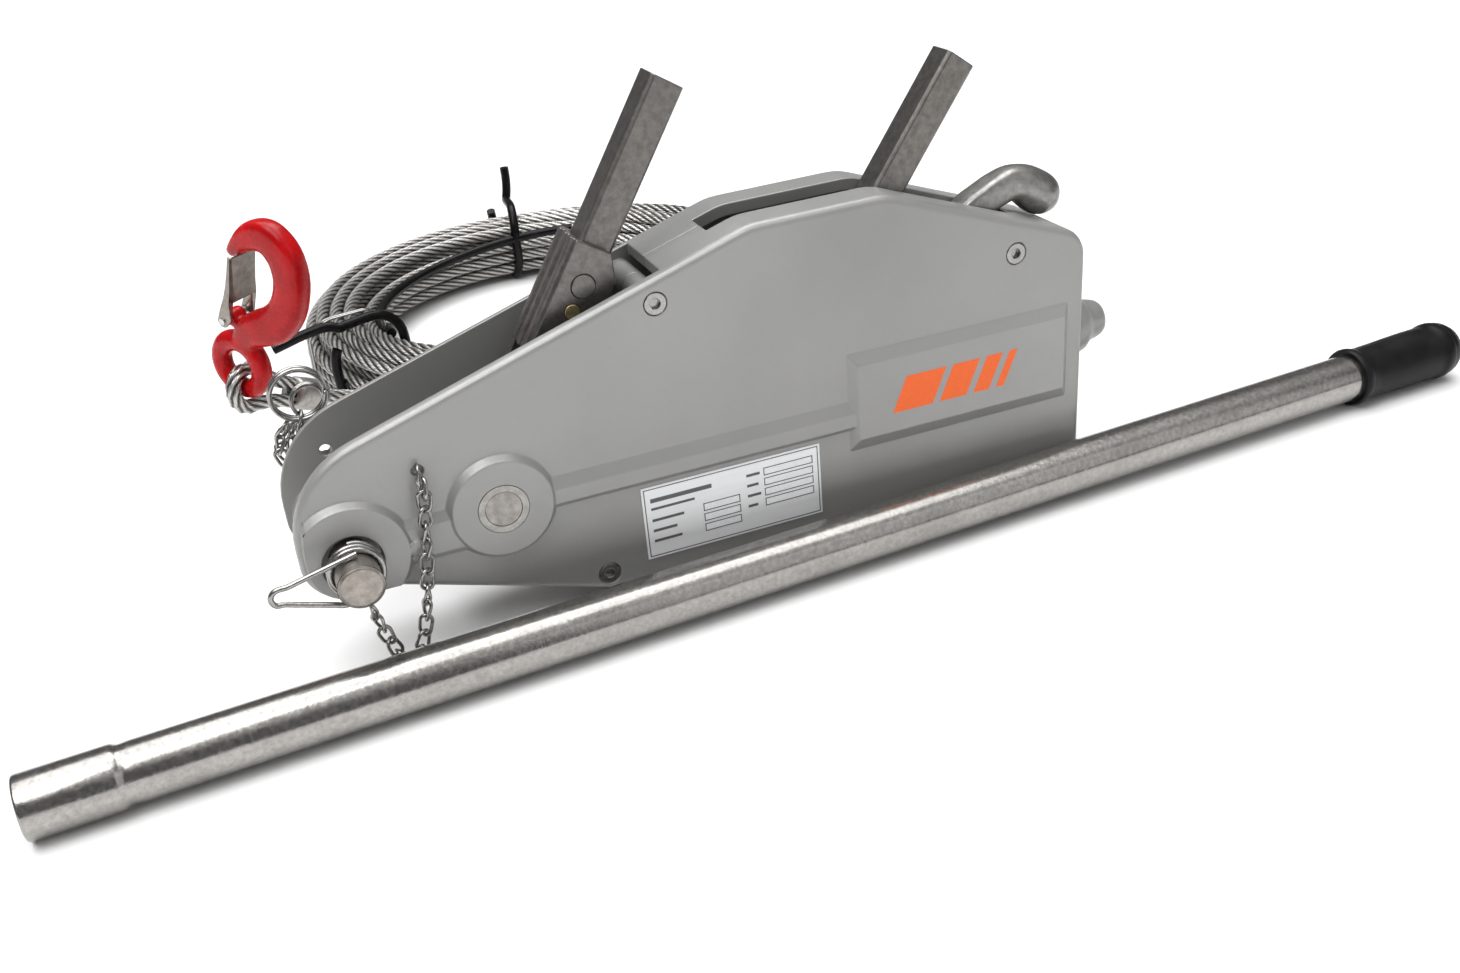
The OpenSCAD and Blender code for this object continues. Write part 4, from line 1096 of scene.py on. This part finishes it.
def plates(name, shapes, face_y, mat, node):
    """Thin printed shapes on a face that looks to -y: each shape is its corners x, z in millimetres."""
    parts = []
    for shape in shapes:
        n = len(shape)
        verts = [at(x, face_y - d, z) for d in (0.0, PRINT_THICK) for x, z in shape]
        faces = [tuple(range(n))[::-1], tuple(range(n, 2 * n))]
        faces += [(k, (k + 1) % n, n + (k + 1) % n, n + k) for k in range(n)]
        parts.append((verts, faces))
    v, f = joined(parts)
    obj = sharpen(new_piece(name, v, f, mat, False), 20)
    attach(obj, body_of[node])
    return obj


def bar(x0, z0, x1, z1, lean=0.0):
    return [(x0, z0), (x1, z0), (x1 + lean, z1), (x0 + lean, z1)]


def frame_bars(x0, z0, x1, z1, w=0.45):
    """Four bars round an empty field."""
    return [bar(x0, z0, x1, z0 + w), bar(x0, z1 - w, x1, z1),
            bar(x0, z0, x0 + w, z1), bar(x1 - w, z0, x1, z1)]


def label():
    """Empty fields and plain bars, with no lettering."""
    fields = [(185, z, 204, z + 4.2) for z in (38.5, 33, 27.5)]
    fields += [(217, z, 243, z + 4.2) for z in (49, 43.5, 38, 32.5)]
    lines = [b for field in fields for b in frame_bars(*field)] + frame_bars(156, 21.5, 246, 57.5, 0.5)
    heads = [bar(159, z + 1.4, 159 + w, z + 2.8) for z, w in ((38.5, 16), (33, 12), (27.5, 14))]
    heads += [bar(208, z + 1.4, 208 + w, z + 2.8) for z, w in ((49, 7), (43.5, 6), (38, 7), (32.5, 5))]
    heads += [bar(159, 50, 190, 52.2), bar(159, 46, 181, 47.3)]
    blanks = [bar(a + 0.5, b + 0.5, c - 0.5, d - 0.5) for a, b, c, d in fields]
    plates("label_lines", lines + heads, LABEL_FACE, FIELD, "rating_plate")
    plates("label_blanks", blanks, LABEL_FACE, BLANK, "rating_plate")


label()
hatch = [bar(x, 66, x + w, 84, 8) for x, w in ((286, 22), (312, 15), (331, 9), (344, 4.5))]
plates("panel_mark", hatch, PANEL_FACE, MARK, "housing_front")


# ---------------------------------------------------------------- floor and light
FLOOR_REACH = 14
FLOOR_Z = -0.0003
SKY = ((0.60, 0.18), (0.80, 0.8), (0.9, 0.9))  # brightness by height
LOOK_AT = (0, 0.1, 0.05)
# name, power, size, place and the point that it faces
LAMPS = (("key", 30, 1.6, (-1.1, -0.7, 2.2), LOOK_AT),
         ("fill", 11, 2.2, (1.5, -2.2, 1.3), LOOK_AT),
         ("back", 14, 1.4, (0.4, 1.0, 2.4), LOOK_AT),
         ("ceiling", 350, 7.0, (0.0, 1.5, 6.0), (0, 1.5, 0)))


def make_stage():
    floor_mat = Nodes("floor")
    tone = floor_mat.noise(3, 2, 0.5)
    color = floor_mat.mix(tone, (0.86, 0.86, 0.86), (0.88, 0.88, 0.88))
    floor_mat.finish(color, 0.0, 0.75)
    corners = [(x * FLOOR_REACH, y * FLOOR_REACH, FLOOR_Z) for x, y in ((-1, -1), (1, -1), (1, 1), (-1, 1))]
    floor = new_piece("floor", corners, [(0, 1, 2, 3)], floor_mat.mat, False)
    world = bpy.data.worlds.new("studio")
    scene.world = world
    world.use_nodes = True
    tree = world.node_tree
    coord = tree.nodes.new("ShaderNodeTexCoord")
    split = tree.nodes.new("ShaderNodeSeparateXYZ")
    ramp = tree.nodes.new("ShaderNodeValToRGB")
    tree.links.new(coord.outputs["Generated"], split.inputs[0])
    tree.links.new(split.outputs[2], ramp.inputs[0])
    tree.links.new(ramp.outputs[0], tree.nodes["Background"].inputs[0])
    ramp.color_ramp.elements[0].position = 0.0
    ramp.color_ramp.elements[0].color = (0.13, 0.13, 0.135, 1)
    ramp.color_ramp.elements[1].position = 1.0
    ramp.color_ramp.elements[1].color = (1.0, 1.0, 1.0, 1)
    for place, value in SKY:
        ramp.color_ramp.elements.new(place).color = (value, value, value, 1)
    tree.nodes["Background"].inputs[1].default_value = 1.0
    for name, power, size, place, target in LAMPS:
        data = bpy.data.lights.new(name, "AREA")
        data.energy = power
        data.size = size
        lamp = bpy.data.objects.new(name, data)
        scene.collection.objects.link(lamp)
        lamp.location = place
        lamp.rotation_euler = (Vector(target) - Vector(place)).to_track_quat("-Z", "Y").to_euler()


make_stage()
scene.view_settings.view_transform = "Standard"
